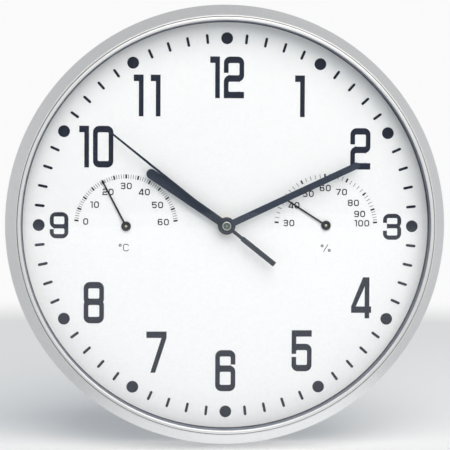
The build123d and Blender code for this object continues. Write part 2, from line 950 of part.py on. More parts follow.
# Each mesh: driving teeth, driven teeth, distance and the bearing from one to the other
rotor_module = module_for(rotor_distance, rotor_teeth, intermediate_teeth)
seconds_module = module_for(intermediate_distance, seconds_teeth, intermediate_pinion_teeth)
third_module = module_for(third_distance, seconds_pinion_teeth, third_teeth)
centre_module = module_for(third_distance, third_pinion_teeth, centre_teeth)
cannon_module = module_for(minute_distance, cannon_teeth, minute_wheel_teeth)
hour_module = module_for(minute_distance, minute_pinion_teeth, hour_wheel_teeth)


def wheel(name, teeth, module, phase, place):
    """A wheel or pinion between its two levels in the gear chamber."""
    low, high = [level(share) for share in wheel_level_shares[name]]
    return lift(Pos(*place) * gear_face(teeth, module, phase), low, high)


def arbor(name, radius, place):
    """The pin of a wheel, from the cover's pocket into its front bearing boss."""
    return disc(radius, arbor_low, level(boss_level_shares[name]) + pivot_depth - end_play, place)


def make_rotor():
    """Magnet and pinion of the stepping motor."""
    phase = gap_phase(rotor_bearing, rotor_bearing, intermediate_teeth, rotor_teeth)
    rotor = wheel("rotor_pinion", rotor_teeth, rotor_module, phase, rotor_place)
    low, high = [level(share) for share in wheel_level_shares["magnet"]]
    rotor += disc(magnet_radius, low, high, rotor_place)
    return rotor + arbor("rotor", arbor_radius, rotor_place)


def make_intermediate_wheel():
    gear = wheel("intermediate_wheel", intermediate_teeth, rotor_module, rotor_bearing,
                 intermediate_place)
    phase = gap_phase(intermediate_bearing, intermediate_bearing,
                      seconds_teeth, intermediate_pinion_teeth)
    gear += wheel("intermediate_pinion", intermediate_pinion_teeth, seconds_module, phase,
                  intermediate_place)
    return gear + arbor("intermediate", arbor_radius, intermediate_place)


def make_seconds_wheel():
    """Wheel, pinion and the long pin that carries the second hand."""
    gear = wheel("seconds_wheel", seconds_teeth, seconds_module, intermediate_bearing,
                 centre_place)
    gear += wheel("seconds_pinion", seconds_pinion_teeth, third_module, third_bearing,
                  centre_place)
    pin_top = second_hand_low + second_hand_thickness + tube_floor
    return gear + disc(seconds_pin_radius, arbor_low, pin_top)


def make_third_wheel():
    phase = gap_phase(third_bearing, third_bearing, seconds_pinion_teeth, third_teeth)
    gear = wheel("third_wheel", third_teeth, third_module, phase, third_place)
    gear += wheel("third_pinion", third_pinion_teeth, centre_module, third_bearing + 180,
                  third_place)
    return gear + arbor("third", arbor_radius, third_place)


def make_centre_wheel():
    """Runs with a slipping fit on the minute arbor."""
    back = third_bearing + 180
    phase = gap_phase(back, back, third_pinion_teeth, centre_teeth)
    gear = wheel("centre_wheel", centre_teeth, centre_module, phase, centre_place)
    return gear - disc(minute_pipe_radius + running_fit, cover_top, chamber_top)


def make_minute_arbor():
    """Cannon pinion and the pipe that carries the minute hand."""
    top = minute_hand_low + minute_hand_thickness + end_play
    low = level(wheel_level_shares["centre_wheel"][0]) - end_play
    pipe = disc(minute_pipe_radius, low, top)
    pipe += wheel("cannon_pinion", cannon_teeth, cannon_module, minute_bearing, centre_place)
    return pipe - disc(seconds_pin_radius + running_fit, low - overrun, top + overrun)


def minute_wheel_phase():
    return gap_phase(minute_bearing, minute_bearing, cannon_teeth, minute_wheel_teeth)


def make_minute_wheel():
    """Turns on a fixed stud and links minute arbor, hour wheel and setting pinion."""
    gear = wheel("minute_wheel", minute_wheel_teeth, cannon_module, minute_wheel_phase(),
                 minute_place)
    gear += wheel("minute_pinion", minute_pinion_teeth, hour_module, minute_bearing + 180,
                  minute_place)
    return gear - disc(stud_radius + running_fit, cover_top, chamber_top, minute_place)


def make_hour_wheel():
    """Wheel and the pipe that carries the hour hand."""
    back = minute_bearing + 180
    phase = gap_phase(back, back, minute_pinion_teeth, hour_wheel_teeth)
    top = hour_hand_low + hour_hand_thickness
    gear = wheel("hour_wheel", hour_wheel_teeth, hour_module, phase, centre_place)
    gear += disc(hour_pipe_radius, level(wheel_level_shares["hour_wheel"][0]), top)
    return gear - disc(minute_pipe_radius + running_fit, cover_top, top + overrun)


def make_setting_knob():
    """Fluted knob behind the movement, its shaft and the pinion that sets the hands."""
    knob_top = movement_low - knob_gap
    knob_low = knob_top - knob_height
    knob = disc(knob_radius, knob_low, knob_top, setting_place)
    for index in range(knob_flutes):
        flute = polar(knob_radius, 360 / knob_flutes * index, setting_place)
        knob -= disc(knob_flute_radius, knob_low - overrun, knob_top + overrun, flute)
    shaft_top = level(boss_level_shares["setting"]) + pivot_depth - end_play
    knob += disc(setting_shaft_radius, knob_top, shaft_top, setting_place)
    phase = gap_phase(setting_bearing, minute_wheel_phase(), minute_wheel_teeth, setting_teeth)
    return knob + wheel("minute_wheel", setting_teeth, cannon_module, phase, setting_place)


# Movement box
front_bosses = {
    "third": (third_place, arbor_radius),
    "intermediate": (intermediate_place, arbor_radius),
    "rotor": (rotor_place, arbor_radius),
    "setting": (setting_place, setting_shaft_radius),
}


def make_movement_case():
    """Front shell with the gear chamber, the battery bay and the front bearings."""
    half, inner = movement_half, chamber_half
    case = block(-half, half, -half, half, movement_low, movement_top)
    case -= block(-inner, inner, divider_top, inner, movement_low - overrun, chamber_top)
    case -= block(-inner, inner, -inner, divider_low, movement_low - overrun, chamber_top)
    case -= block(-half - overrun, half + overrun, divider_low, half + overrun,
                  movement_low - overrun, cover_top)
    for name, (place, radius) in front_bosses.items():
        low = level(boss_level_shares[name])
        case += disc(radius + pivot_boss_wall, low, chamber_top, place)
        case -= disc(radius + running_fit, low - overrun, low + pivot_depth, place)
    case += disc(stud_radius, level(boss_level_shares["stud"]), chamber_top, minute_place)
    return case - disc(bushing_radius + running_fit, chamber_top - overrun,
                       movement_top + overrun)


def post_places():
    """Where the cover's posts carry the stator."""
    arm_middle = rotor_place[1] + (stator_pad - stator_arm) / 2
    return [
        (core_left + stator_arm / 2, arm_middle),
        (rotor_place[0] + (stator_pad - stator_arm) / 2, arm_middle),
    ]


def board_posts():
    middle = (board_left + board_right) / 2
    return [(middle, board_low + post_radius), (middle, board_high - post_radius)]


def make_movement_cover():
    """Rear cover with the rear bearings, locating lugs and posts for stator and board."""
    half = movement_half
    cover = block(-half, half, divider_low, half, movement_low, cover_top)
    for place in (centre_place, third_place, intermediate_place, rotor_place):
        radius = seconds_pin_radius if place == centre_place else arbor_radius
        cover -= disc(radius + running_fit, cover_top - pivot_depth, cover_top + overrun, place)
    cover -= disc(setting_shaft_radius + running_fit, movement_low - overrun,
                  cover_top + overrun, setting_place)
    edge = chamber_half - lug_clearance
    lug_bottom = divider_top + lug_clearance
    for side in (-1, 1):
        for bottom in (lug_bottom, edge - lug_side):
            outer, inner = side * edge, side * (edge - lug_side)
            cover += block(min(outer, inner), max(outer, inner), bottom, bottom + lug_side,
                           cover_top, cover_top + lug_height)
    for place in post_places():
        cover += disc(post_radius, cover_top, stator_low, place)
    for place in board_posts():
        cover += disc(post_radius, cover_top, board_low_face, place)
    return cover


def make_hanger():
    """Bent steel tab on top of the movement, with a round hole for a nail."""
    foot_low, half = movement_half, tab_width / 2
    low = cover_top
    blade = span(-half, half, foot_low, foot_low + tab_length)
    corners = blade.vertices().sort_by(Axis.Y)[-2:]
    blade = fillet(corners, tab_corner)
    blade -= Pos(0, foot_low + hang_hole_rise) * Circle(hang_hole_radius)
    tab = lift(blade, low, low + tab_thickness)
    return tab + block(-half, half, foot_low, foot_low + tab_thickness, low, low + tab_foot)


# Battery and contacts
battery_rise = battery_clearance + battery_radius - chamber_half
battery_middle = chamber_top - battery_clearance - battery_radius
battery_left = contact_thickness + battery_nub_length - chamber_half
battery_right = chamber_half - battery_spring_gap


def lengthwise(radius, left, right, rise, height):
    """A round bar along X, between two places across the clock."""
    plane = Plane.YZ.offset(left)
    return extrude(plane * Pos(-height, rise) * Circle(radius), right - left)


def make_battery():
    cell = lengthwise(battery_radius, battery_left, battery_right, battery_rise,
                      battery_middle)
    return cell + lengthwise(battery_nub_radius, battery_left - battery_nub_length,
                             battery_left, battery_rise, battery_middle)


def make_positive_contact():
    half = contact_height / 2
    return block(-chamber_half, contact_thickness - chamber_half,
                 battery_rise - half, battery_rise + half,
                 battery_middle - half, battery_middle + half)


def make_negative_contact():
    """A leaf on the wall with a tongue bent out against the flat end of the cell."""
    half = contact_height / 2
    end = battery_right
    root = chamber_half - contact_thickness
    low, high = battery_middle - half, battery_middle + half
    leaf = span(root, chamber_half, -high, -low)
    leaf += polygon([
        (root, -low), (end, contact_thickness - battery_middle),
        (end, -contact_thickness - battery_middle), (root, -low - 2 * contact_thickness),
    ])
    return extrude(Plane.XY.offset(battery_rise - half) * leaf, contact_height)


# Motor
stator_low, stator_top = [level(share) for share in wheel_level_shares["stator"]]
stator_thickness = stator_top - stator_low
board_low_face, board_top_face = [level(share) for share in wheel_level_shares["board"]]


def make_stator():
    """Flat iron plate around the rotor with two arms out to the coil core."""
    half = stator_pad / 2
    pad_x, pad_z = rotor_place
    face = span(pad_x - half, pad_x + half, pad_z - half, pad_z + half)
    face += span(core_left, pad_x + half, pad_z + half - stator_arm, pad_z + half)
    core_top = core_rise + core_width / 2
    face += span(core_left, core_left + stator_arm, pad_z + half - stator_arm, core_top)
    face += span(core_right - stator_arm, core_right, pad_z + half - stator_arm, core_top)
    face += span(pad_x, core_right, pad_z + half - stator_arm, pad_z + half)
    face -= Pos(*rotor_place) * Circle(magnet_radius + stator_gap)
    return lift(face, stator_low, stator_top)


core_low = stator_top
core_middle = core_low + stator_thickness / 2


def make_coil_core():
    half = core_width / 2
    return block(core_left, core_right, core_rise - half, core_rise + half,
                 core_low, core_low + stator_thickness)


def bobbin_slice(half_rise, half_height, left, right):
    """A rectangular slice across the coil, centred on its core."""
    return block(left, right, core_rise - half_rise, core_rise + half_rise,
                 core_middle - half_height, core_middle + half_height)


def make_coil_bobbin():
    """Square tube around the core with a flange at each end."""
    hole_rise = core_width / 2 + core_clearance
    hole_height = stator_thickness / 2 + core_clearance
    tube_rise, tube_half = hole_rise + bobbin_wall, hole_height + bobbin_wall
    bobbin = bobbin_slice(tube_rise, tube_half, bobbin_left, bobbin_right)
    for left in (bobbin_left, bobbin_right - bobbin_flange):
        bobbin += bobbin_slice(bobbin_half, bobbin_half, left, left + bobbin_flange)
    return bobbin - bobbin_slice(hole_rise, hole_height, bobbin_left - overrun,
                                 bobbin_right + overrun)


def make_coil_winding():
    """Copper wound on the bobbin, as one rounded sleeve."""
    left, right = bobbin_left + bobbin_flange, bobbin_right - bobbin_flange
    sleeve = Pos(-core_middle, core_rise) * RectangleRounded(
        2 * winding_half, 2 * winding_half, winding_round)
    solid = extrude(Plane.YZ.offset(left) * sleeve, right - left)
    tube_rise = core_width / 2 + core_clearance + bobbin_wall + winding_clearance
    tube_half = stator_thickness / 2 + core_clearance + bobbin_wall + winding_clearance
    return solid - bobbin_slice(tube_rise, tube_half, left - overrun, right + overrun)


# Circuit board
def make_circuit_board():
    return block(board_left, board_right, board_low, board_high,
                 board_low_face, board_top_face)


def make_chip():
    """The blob of resin over the timing chip."""
    middle, half = (board_left + board_right) / 2, chip_side / 2
    return block(middle - half, middle + half, chip_rise - half, chip_rise + half,
                 board_top_face, board_top_face + chip_height)


def make_crystal():
    """The small metal can of the quartz crystal, lying on the board."""
    middle = (board_left + board_right) / 2
    height = board_top_face + crystal_radius
    half = crystal_length / 2
    return lengthwise(crystal_radius, middle - half, middle + half, crystal_rise, height)


def collect_parts():
    """Every piece of the clock under the name that a repairer would use."""
    eye = bushing_radius + bushing_clearance
    ring_outer = plate_radius
    ring_inner = opening_radius - ring_inset
    parts = {
        "bezel": make_bezel(),
        "lens": disc(plate_radius, lens_low, lens_top),
        "spacer_ring": ring(ring_outer, ring_inner, spacer_low, lens_low),
        "dust_seal": ring(ring_outer, ring_inner, dial_top, spacer_low),
        "dial": make_dial(),
        "hour_numerals": make_hour_numerals(),
        "minute_track": make_minute_track(),
        "thermometer_scale": make_thermometer_scale(),
        "hygrometer_scale": make_hygrometer_scale(),
        "back_plate": make_back_plate(),
        "case_screws": make_case_screws(),
        "hour_hand": make_hour_hand(),
        "minute_hand": make_minute_hand(),
        "second_hand": make_second_hand(),
        "second_hand_tube": make_second_tube(),
        "threaded_bushing": make_bushing(),
        "hex_nut": make_nut(),
        "brass_washer": ring(washer_radius, eye, dial_top, dial_top + washer_thickness),
        "rubber_gasket": ring(gasket_radius, eye, movement_top, plate_low),
        "movement_case": make_movement_case(),
        "movement_cover": make_movement_cover(),
        "hanger": make_hanger(),
        "rotor": make_rotor(),
        "intermediate_wheel": make_intermediate_wheel(),
        "seconds_wheel": make_seconds_wheel(),
        "third_wheel": make_third_wheel(),
        "centre_wheel": make_centre_wheel(),
        "minute_arbor": make_minute_arbor(),
        "minute_wheel": make_minute_wheel(),
        "hour_wheel": make_hour_wheel(),
        "setting_knob": make_setting_knob(),
        "battery": make_battery(),
        "positive_contact": make_positive_contact(),
        "negative_contact": make_negative_contact(),
        "stator": make_stator(),
        "coil_core": make_coil_core(),
        "coil_bobbin": make_coil_bobbin(),
        "coil_winding": make_coil_winding(),
        "circuit_board": make_circuit_board(),
        "timing_chip": make_chip(),
        "quartz_crystal": make_crystal(),
    }
    readings = {
        "thermometer": thermometer_reading_angle,
        "hygrometer": hygrometer_reading_angle,
    }
    for name, place in instrument_places.items():
        parts[name + "_pointer"] = make_pointer(place, readings[name])
        parts[name + "_arbor"] = make_instrument_arbor(place)
        parts[name + "_cup"] = make_instrument_cup(place)
        parts[name + "_cap"] = make_instrument_cap(place)
        parts[name + "_coil"] = make_strip_coil(place)
    return parts


def main():
    os.makedirs("parts", exist_ok=True)
    for name, solid in collect_parts().items():
        export_step(solid, "parts/" + name + ".step")


main()
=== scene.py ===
# %% [markdown]
# # A round wall clock with two weather instruments
# The clock is a deep silver rim around a flat white dial, behind a flat clear lens. Two small
# pointer instruments, for warmth and for damp air, are let into the dial at nine and at three.
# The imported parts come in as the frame: they set every size and every moving body. This file
# gives them their looks. Pieces that the photograph shows from close by are made anew as
# smooth surfaces, and the rest keep their shape and get a material of their own.

# %% The frame
import math

import bmesh
import bpy
import numpy as np
from mathutils import Matrix, Vector
from mathutils.geometry import tessellate_polygon


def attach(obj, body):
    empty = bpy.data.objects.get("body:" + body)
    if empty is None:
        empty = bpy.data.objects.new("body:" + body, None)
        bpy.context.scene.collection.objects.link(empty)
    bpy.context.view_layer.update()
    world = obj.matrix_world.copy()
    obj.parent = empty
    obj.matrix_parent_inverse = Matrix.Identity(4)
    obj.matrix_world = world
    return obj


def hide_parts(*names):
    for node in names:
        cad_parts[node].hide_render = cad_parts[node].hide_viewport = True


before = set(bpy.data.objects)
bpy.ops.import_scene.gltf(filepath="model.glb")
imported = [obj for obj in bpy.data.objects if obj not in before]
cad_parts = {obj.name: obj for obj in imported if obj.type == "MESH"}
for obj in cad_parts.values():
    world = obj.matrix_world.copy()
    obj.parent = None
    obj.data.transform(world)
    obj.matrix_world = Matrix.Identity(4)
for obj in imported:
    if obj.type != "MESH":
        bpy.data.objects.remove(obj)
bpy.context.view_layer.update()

# %% [markdown]
# ## How places are written
# The wall is the plane y = 0 and the dial looks along -Y. A clockmaker thinks of each piece as
# (across, up, height above the wall) in millimetres, so the shapes below are written that way
# and one function turns them into metres in the frame.

# %% Units and places
MM = 0.001


def placed(points):
    """(across, up, height) in millimetres becomes (x, y, z) in metres, with y = -height."""
    points = np.asarray(points, dtype=float)
    return np.stack([points[:, 0], -points[:, 2], points[:, 1]], axis=1) * MM


def fan_volume(points, faces):
    """Six times the signed volume: the sum of a . (b x c) over a fan of triangles per face."""
    triangles = [(face[0], face[i], face[i + 1]) for face in faces for i in range(1, len(face) - 1)]
    a, b, c = (points[np.array(triangles)[:, i]] for i in range(3))
    return float(np.einsum("ij,ij->i", a, np.cross(b, c)).sum())


def add_piece(name, points, faces, material, body, stands_for, finish, sharp=35):
    """Makes a closed mesh of the points, faces outwards, and hangs it on its body."""
    points = placed(points)
    if fan_volume(points, faces) < 0:
        faces = [face[::-1] for face in faces]
    mesh = bpy.data.meshes.new(name)
    mesh.from_pydata(points.tolist(), [], [list(map(int, face)) for face in faces])
    mesh.validate()
    mesh.shade_smooth()
    mesh.set_sharp_from_angle(angle=math.radians(sharp))
    piece = bpy.data.objects.new(name, mesh)
    bpy.context.scene.collection.objects.link(piece)
    mesh.materials.append(material)
    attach(piece, body)
    if stands_for:
        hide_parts(*stands_for)
    print(name, len(mesh.polygons), "faces")
    return piece


# %% [markdown]
# ## Turned pieces
# The rim, the rings, the tube and the pins are round. Each is one profile of (radius, height)
# points carried once round an axis, as on a lathe. A real edge is never quite sharp, so a
# helper first rounds the corners of the profile: that small arc is what catches the light.

# %% Lathe helpers
def rounded(corners, radii, steps=5, guard=0.12):
    """Replaces corner P by an arc of radius r that touches both edges at r / tan(half angle)
    from P. The arc's centre lies on the half-angle line, r / sin(half angle) from P. One guard
    point just outside each end of the arc keeps the flat face beside it flat in the light:
    without it the smooth shading of the arc would leak across the whole face."""
    corners = np.asarray(corners, dtype=float)
    outline = []
    for index, corner in enumerate(corners):
        radius = radii[index] if np.ndim(radii) else radii
        to_last = corners[index - 1] - corner
        to_next = corners[(index + 1) % len(corners)] - corner
        to_last /= np.linalg.norm(to_last)
        to_next /= np.linalg.norm(to_next)
        half = math.acos(np.clip(to_last @ to_next, -1, 1)) / 2
        if radius == 0 or abs(half - math.pi / 2) < 1e-6:
            outline.append(corner)
            continue
        middle = (to_last + to_next) / np.linalg.norm(to_last + to_next)
        centre = corner + middle * radius / math.sin(half)
        first = corner + to_last * radius / math.tan(half) - centre
        last = corner + to_next * radius / math.tan(half) - centre
        share = np.linspace(0, 1, steps + 1)[:, None]
        arc = first * (1 - share) + last * share
        arc *= radius / np.linalg.norm(arc, axis=1, keepdims=True)
        outline.append(centre + first + to_last * guard)
        outline.extend(centre + arc)
        outline.append(centre + last + to_next * guard)
    return np.array(outline)


def lathe(profile, centre=(0, 0), steps=256, closed=True):
    """Point (i, j) is (cx + r_j sin t_i, cz + r_j cos t_i, h_j) with t_i = 2 pi i / steps.
    A profile point on the axis becomes one pole point."""
    profile = np.asarray(profile, dtype=float)
    turn = np.arange(steps) * 2 * math.pi / steps
    points, rings = [], []
    for radius, height in profile:
        first = sum(len(block) for block in points)
        if radius < 1e-9:
            points.append(np.array([[centre[0], centre[1], height]]))
            rings.append(np.full(steps, first))
        else:
            points.append(np.stack([centre[0] + radius * np.sin(turn),
                                    centre[1] + radius * np.cos(turn),
                                    np.full(steps, height)], axis=1))
            rings.append(first + np.arange(steps))
    rings = np.array(rings)
    if closed:
        rings = np.concatenate([rings, rings[:1]])
    faces = []
    for low, high in zip(rings[:-1], rings[1:]):
        quads = np.stack([low, np.roll(low, -1), np.roll(high, -1), high], axis=1)
        if low[0] == low[1] and high[0] == high[1]:
            continue
        if low[0] == low[1]:
            quads = quads[:, [0, 2, 3]]
        elif high[0] == high[1]:
            quads = quads[:, [0, 1, 2]]
        faces.extend(quads.tolist())
    return np.concatenate(points), faces


# %% [markdown]
# ## Flat pieces
# Hands, pointers and the printed dial are stamped from sheet: an outline raised between two
# heights, with the rim of the front face eased by a fraction of a millimetre. The easing is
# what gives a real hand its thin bright edge.

# %% Stamping helpers
def inset(loop, distance):
    """Moves each point of a loop to the left by the distance, along the mean of the two edge
    normals, stretched by 2 / |n1 + n2| squared so that the edges stay parallel."""
    edges = np.roll(loop, -1, axis=0) - loop
    normals = np.stack([edges[:, 1], -edges[:, 0]], axis=1)
    normals /= np.linalg.norm(normals, axis=1, keepdims=True)
    both = normals + np.roll(normals, 1, axis=0)
    return loop - both * (2 * distance / (both ** 2).sum(axis=1, keepdims=True))


def circle(radius, centre=(0, 0), steps=64, clockwise=False):
    """Points at even angles round a centre."""
    turn = np.arange(steps) * 2 * math.pi / steps
    if clockwise:
        turn = -turn
    return np.stack([centre[0] + radius * np.cos(turn), centre[1] + radius * np.sin(turn)], axis=1)


def stamped(loops, low, high, ease):
    """Walls are the loops at low, low + ease, high - ease and high, the first and last of them
    drawn in by ease, and both caps are filled with triangles. The outer loop runs
    anticlockwise and the holes clockwise, so the metal is always on the left."""
    levels = [(low, ease), (low + ease, 0), (high - ease, 0), (high, ease)]
    shrunk = [[inset(np.asarray(loop), shift) for loop in loops] for _, shift in levels]
    points, starts, count = [], [], 0
    for (height, _), rings in zip(levels, shrunk):
        starts.append([])
        for ring in rings:
            starts[-1].append(count)
            count += len(ring)
            points.append(np.column_stack([ring, np.full(len(ring), height)]))
    faces = []
    for below, above in zip(starts[:-1], starts[1:]):
        for a, b, loop in zip(below, above, loops):
            step = np.arange(len(loop))
            ahead = np.roll(step, -1)
            faces.extend(np.stack([a + step, a + ahead, b + ahead, b + step], axis=1).tolist())
    for level, top in ((0, False), (3, True)):
        rings = shrunk[level]
        flat = np.concatenate(rings)
        first = starts[level][0]
        for face in tessellate_polygon([[Vector((x, y, 0)) for x, y in ring] for ring in rings]):
            a, b, c = (flat[i] for i in face)
            ahead = np.cross(b - a, c - a) > 0
            face = [first + i for i in face]
            faces.append(face if ahead == top else face[::-1])
    return np.concatenate(points), faces


def turned_by(loop, angle, centre=(0, 0)):
    """Turns a flat loop clockwise about the origin and moves it to a centre."""
    turn = math.radians(angle)
    loop = np.asarray(loop, dtype=float)
    across = loop[:, 0] * math.cos(turn) + loop[:, 1] * math.sin(turn)
    up = loop[:, 1] * math.cos(turn) - loop[:, 0] * math.sin(turn)
    return np.stack([across + centre[0], up + centre[1]], axis=1)


# %% [markdown]
# ## Finishes
# Each finish is one small function that returns a material. All of them start from the
# Principled shader and read Object coordinates, so the grain keeps its real size and stays on
# the piece when it moves. A colour is written as seen on a screen and turned into light by the
# usual curve.

# %% Material helpers
def light(red, green, blue):
    """Screen values from 0 to 255 as linear light: ((v + 0.055) / 1.055) to the power 2.4."""
    linear = [((v / 255 + 0.055) / 1.055) ** 2.4 if v > 10 else v / 255 / 12.92
              for v in (red, green, blue)]
    return (*linear, 1)


def new_finish(name, **sockets):
    """A material whose Principled sockets are set by name, with _ for a space."""
    material = bpy.data.materials.new(name)
    material.use_nodes = True
    shader = material.node_tree.nodes["Principled BSDF"]
    for socket, value in sockets.items():
        shader.inputs[socket.replace("_", " ")].default_value = value
    return material


def feed(material, socket, value):
    """Lets a value, colour or normal drive one socket of the Principled shader."""
    tree = material.node_tree
    tree.links.new(value, tree.nodes["Principled BSDF"].inputs[socket])


def object_place(material, scale=(1, 1, 1)):
    """Object coordinates, stretched by a scale: a long stretch turns grain into brushing."""
    nodes, links = material.node_tree.nodes, material.node_tree.links
    place = nodes.new("ShaderNodeTexCoord")
    mapping = nodes.new("ShaderNodeMapping")
    mapping.inputs["Scale"].default_value = scale
    links.new(place.outputs["Object"], mapping.inputs["Vector"])
    return mapping.outputs["Vector"]


def ranged(owner, value, source=(0, 1), target=(0, 1), smooth=False):
    """Takes the value from the source's two ends to the target's, and holds it beyond them."""
    reach = owner.node_tree.nodes.new("ShaderNodeMapRange")
    if smooth:
        reach.interpolation_type = "SMOOTHSTEP"
    for socket, end in zip(("From Min", "From Max", "To Min", "To Max"), (*source, *target)):
        reach.inputs[socket].default_value = end
    owner.node_tree.links.new(value, reach.inputs["Value"])
    return reach.outputs["Result"]


def worked_out(owner, operation, first, second):
    """One step of arithmetic between two values."""
    step = owner.node_tree.nodes.new("ShaderNodeMath")
    step.operation = operation
    owner.node_tree.links.new(first, step.inputs[0])
    owner.node_tree.links.new(second, step.inputs[1])
    return step.outputs["Value"]


def colours(owner, value, stops, interpolation="LINEAR"):
    """A colour for every value, through stops of (position, colour)."""
    ramp = owner.node_tree.nodes.new("ShaderNodeValToRGB")
    ramp.color_ramp.interpolation = interpolation
    elements = ramp.color_ramp.elements
    elements[0].position, elements[0].color = stops[0]
    elements[1].position, elements[1].color = stops[-1]
    for position, colour in stops[1:-1]:
        elements.new(position).color = colour
    owner.node_tree.links.new(value, ramp.inputs["Fac"])
    return ramp.outputs["Color"]


def chosen(owner, factor, first, second):
    """The first shader where the factor is 0, and the second where it is 1."""
    mix = owner.node_tree.nodes.new("ShaderNodeMixShader")
    for socket, value in enumerate((factor, first, second)):
        owner.node_tree.links.new(value, mix.inputs[socket])
    return mix.outputs["Shader"]


def noise(material, per_metre, detail=3, stretch=(1, 1, 1)):
    """A cloud of numbers from 0 to 1 with so many lumps in a metre."""
    texture = material.node_tree.nodes.new("ShaderNodeTexNoise")
    texture.inputs["Scale"].default_value = per_metre
    texture.inputs["Detail"].default_value = detail
    material.node_tree.links.new(object_place(material, stretch), texture.inputs["Vector"])
    return texture.outputs["Fac"]


def vary_colour(material, value, first, second, low=0.35, high=0.65):
    """The base colour runs from first to second as the value runs from low to high."""
    feed(material, "Base Color", colours(material, value, [(low, first), (high, second)]))


def vary_gloss(material, value, low, high):
    """Roughness runs from low to high with the value."""
    feed(material, "Roughness", ranged(material, value, target=(low, high)))


def emboss(material, value, depth_mm, strength=1.0):
    """Tilts the shading as if the value stood up by the depth."""
    bump = material.node_tree.nodes.new("ShaderNodeBump")
    bump.inputs["Strength"].default_value = strength
    bump.inputs["Distance"].default_value = depth_mm * MM
    material.node_tree.links.new(value, bump.inputs["Height"])
    feed(material, "Normal", bump.outputs["Normal"])


def distance_from(material, place=(0, 0, 0), scale=(1, 1, 1)):
    """The distance in metres of each point from a place, after the stretch by a scale."""
    distance = material.node_tree.nodes.new("ShaderNodeVectorMath")
    distance.operation = "DISTANCE"
    distance.inputs[1].default_value = place
    material.node_tree.links.new(object_place(material, scale), distance.inputs[0])
    return distance.outputs["Value"]


def from_axis(material, low, high):
    """0 to 1 as the distance from the Y axis goes from low to high millimetres."""
    return ranged(material, distance_from(material, scale=(1, 0, 1)), (low * MM, high * MM))


def round_bands(material, per_metre):
    """Rings round the Y axis of the piece, as a lathe tool or a polishing wheel leaves."""
    texture = material.node_tree.nodes.new("ShaderNodeTexWave")
    texture.wave_type = "RINGS"
    texture.rings_direction = "Y"
    texture.inputs["Scale"].default_value = per_metre
    texture.inputs["Distortion"].default_value = 1.5
    material.node_tree.links.new(object_place(material), texture.inputs["Vector"])
    return texture.outputs["Fac"]


# %% [markdown]
# ## Silver paint
# The rim is moulded plastic under a silver paint: tiny metal flakes in a clear binder. From
# close by the flakes sparkle, and from a few steps away the paint is a soft satin grey that is
# lightest where it mirrors the painted glow on the floor under the clock. A mostly metallic
# surface with a fine grain in its colour, gloss and height does both. A mask round the axis
# darkens the bottom of the hairline groove inside the band: painted shade in the recess.

# %% Paint finishes
# Radii in mm over which the painted shade in the groove fades in and out.
GROOVE_SHADE_REACH = 139.2, 141.2


def silver_paint():
    """Silver paint with its flakes, and with painted shade in the groove."""
    material = new_finish("silver_paint", Metallic=0.72, Roughness=0.42, Specular_IOR_Level=0.5)
    nodes, links = material.node_tree.nodes, material.node_tree.links
    flakes = noise(material, 2600, 2)
    vary_colour(material, flakes, light(208, 210, 212), light(230, 231, 232))
    vary_gloss(material, noise(material, 900, 3), 0.36, 0.50)
    emboss(material, flakes, 0.02, 0.35)
    # Painted shade: the base colour is multiplied by a dark grey in the groove and by white
    # elsewhere.
    bare_metal_and_groove_shade, unshaded = light(120, 122, 126), (1, 1, 1, 1)
    stops = [(0.0, unshaded), (0.35, unshaded), (0.45, bare_metal_and_groove_shade), (0.6, bare_metal_and_groove_shade), (0.7, unshaded),
             (1.0, unshaded)]
    painted_groove_shade = colours(material, from_axis(material, *GROOVE_SHADE_REACH), stops)
    shade = nodes.new("ShaderNodeMix")
    shade.data_type = "RGBA"
    shade.blend_type = "MULTIPLY"
    shade.inputs["Factor"].default_value = 1.0
    base = nodes["Principled BSDF"].inputs["Base Color"]
    links.new(base.links[0].from_socket, shade.inputs["A"])
    links.new(painted_groove_shade, shade.inputs["B"])
    links.new(shade.outputs["Result"], base)
    return material


def hand_paint(name, first, second):
    """Satin blue-black enamel on thin sheet."""
    material = new_finish(name, Roughness=0.45, Specular_IOR_Level=0.3)
    grain = noise(material, 1400, 3)
    vary_colour(material, grain, first, second)
    vary_gloss(material, noise(material, 500, 2), 0.4, 0.52)
    emboss(material, grain, 0.01, 0.25)
    return material


def pointer_paint():
    """Nearly black enamel on the small pointers."""
    material = new_finish("pointer_paint", Roughness=0.5, Specular_IOR_Level=0.25)
    grain = noise(material, 2200, 2)
    vary_colour(material, grain, light(18, 22, 31), light(26, 31, 42))
    emboss(material, grain, 0.008, 0.2)
    return material


def printed_ink(name, first, second):
    """Screen-printed ink: matt, with slightly uneven cover."""
    material = new_finish(name, Roughness=0.6, Specular_IOR_Level=0.2)
    vary_colour(material, noise(material, 700, 4), first, second)
    vary_gloss(material, noise(material, 300, 2), 0.48, 0.62)
    return material


silver = silver_paint()
hand_black = hand_paint("hand_paint", light(40, 49, 65), light(48, 58, 75))
sweep_black = hand_paint("sweep_paint", light(24, 37, 51), light(32, 46, 61))
pointer_black = pointer_paint()
hour_ink = printed_ink("hour_ink", light(23, 30, 45), light(31, 39, 57))
fine_ink = printed_ink("fine_ink", light(12, 14, 23), light(20, 23, 33))

# %% [markdown]
# ## Plastics and rubber
# Moulded plastic shows the texture of its mould: an even fine grain, a little lighter and
# duller on its bumps. Rubber is the same idea with a coarser, softer grain.

# %% Plastic finishes
def moulded(name, first, second, gloss=(0.42, 0.56), per_metre=1800, depth=0.02, shine=0.45):
    """Plastic with an even mould grain in its colour, gloss and height."""
    material = new_finish(name, Roughness=gloss[0], Specular_IOR_Level=shine)
    grain = noise(material, per_metre, 4)
    vary_colour(material, grain, first, second)
    vary_gloss(material, noise(material, per_metre / 6, 2), *gloss)
    emboss(material, grain, depth, 0.4)
    return material


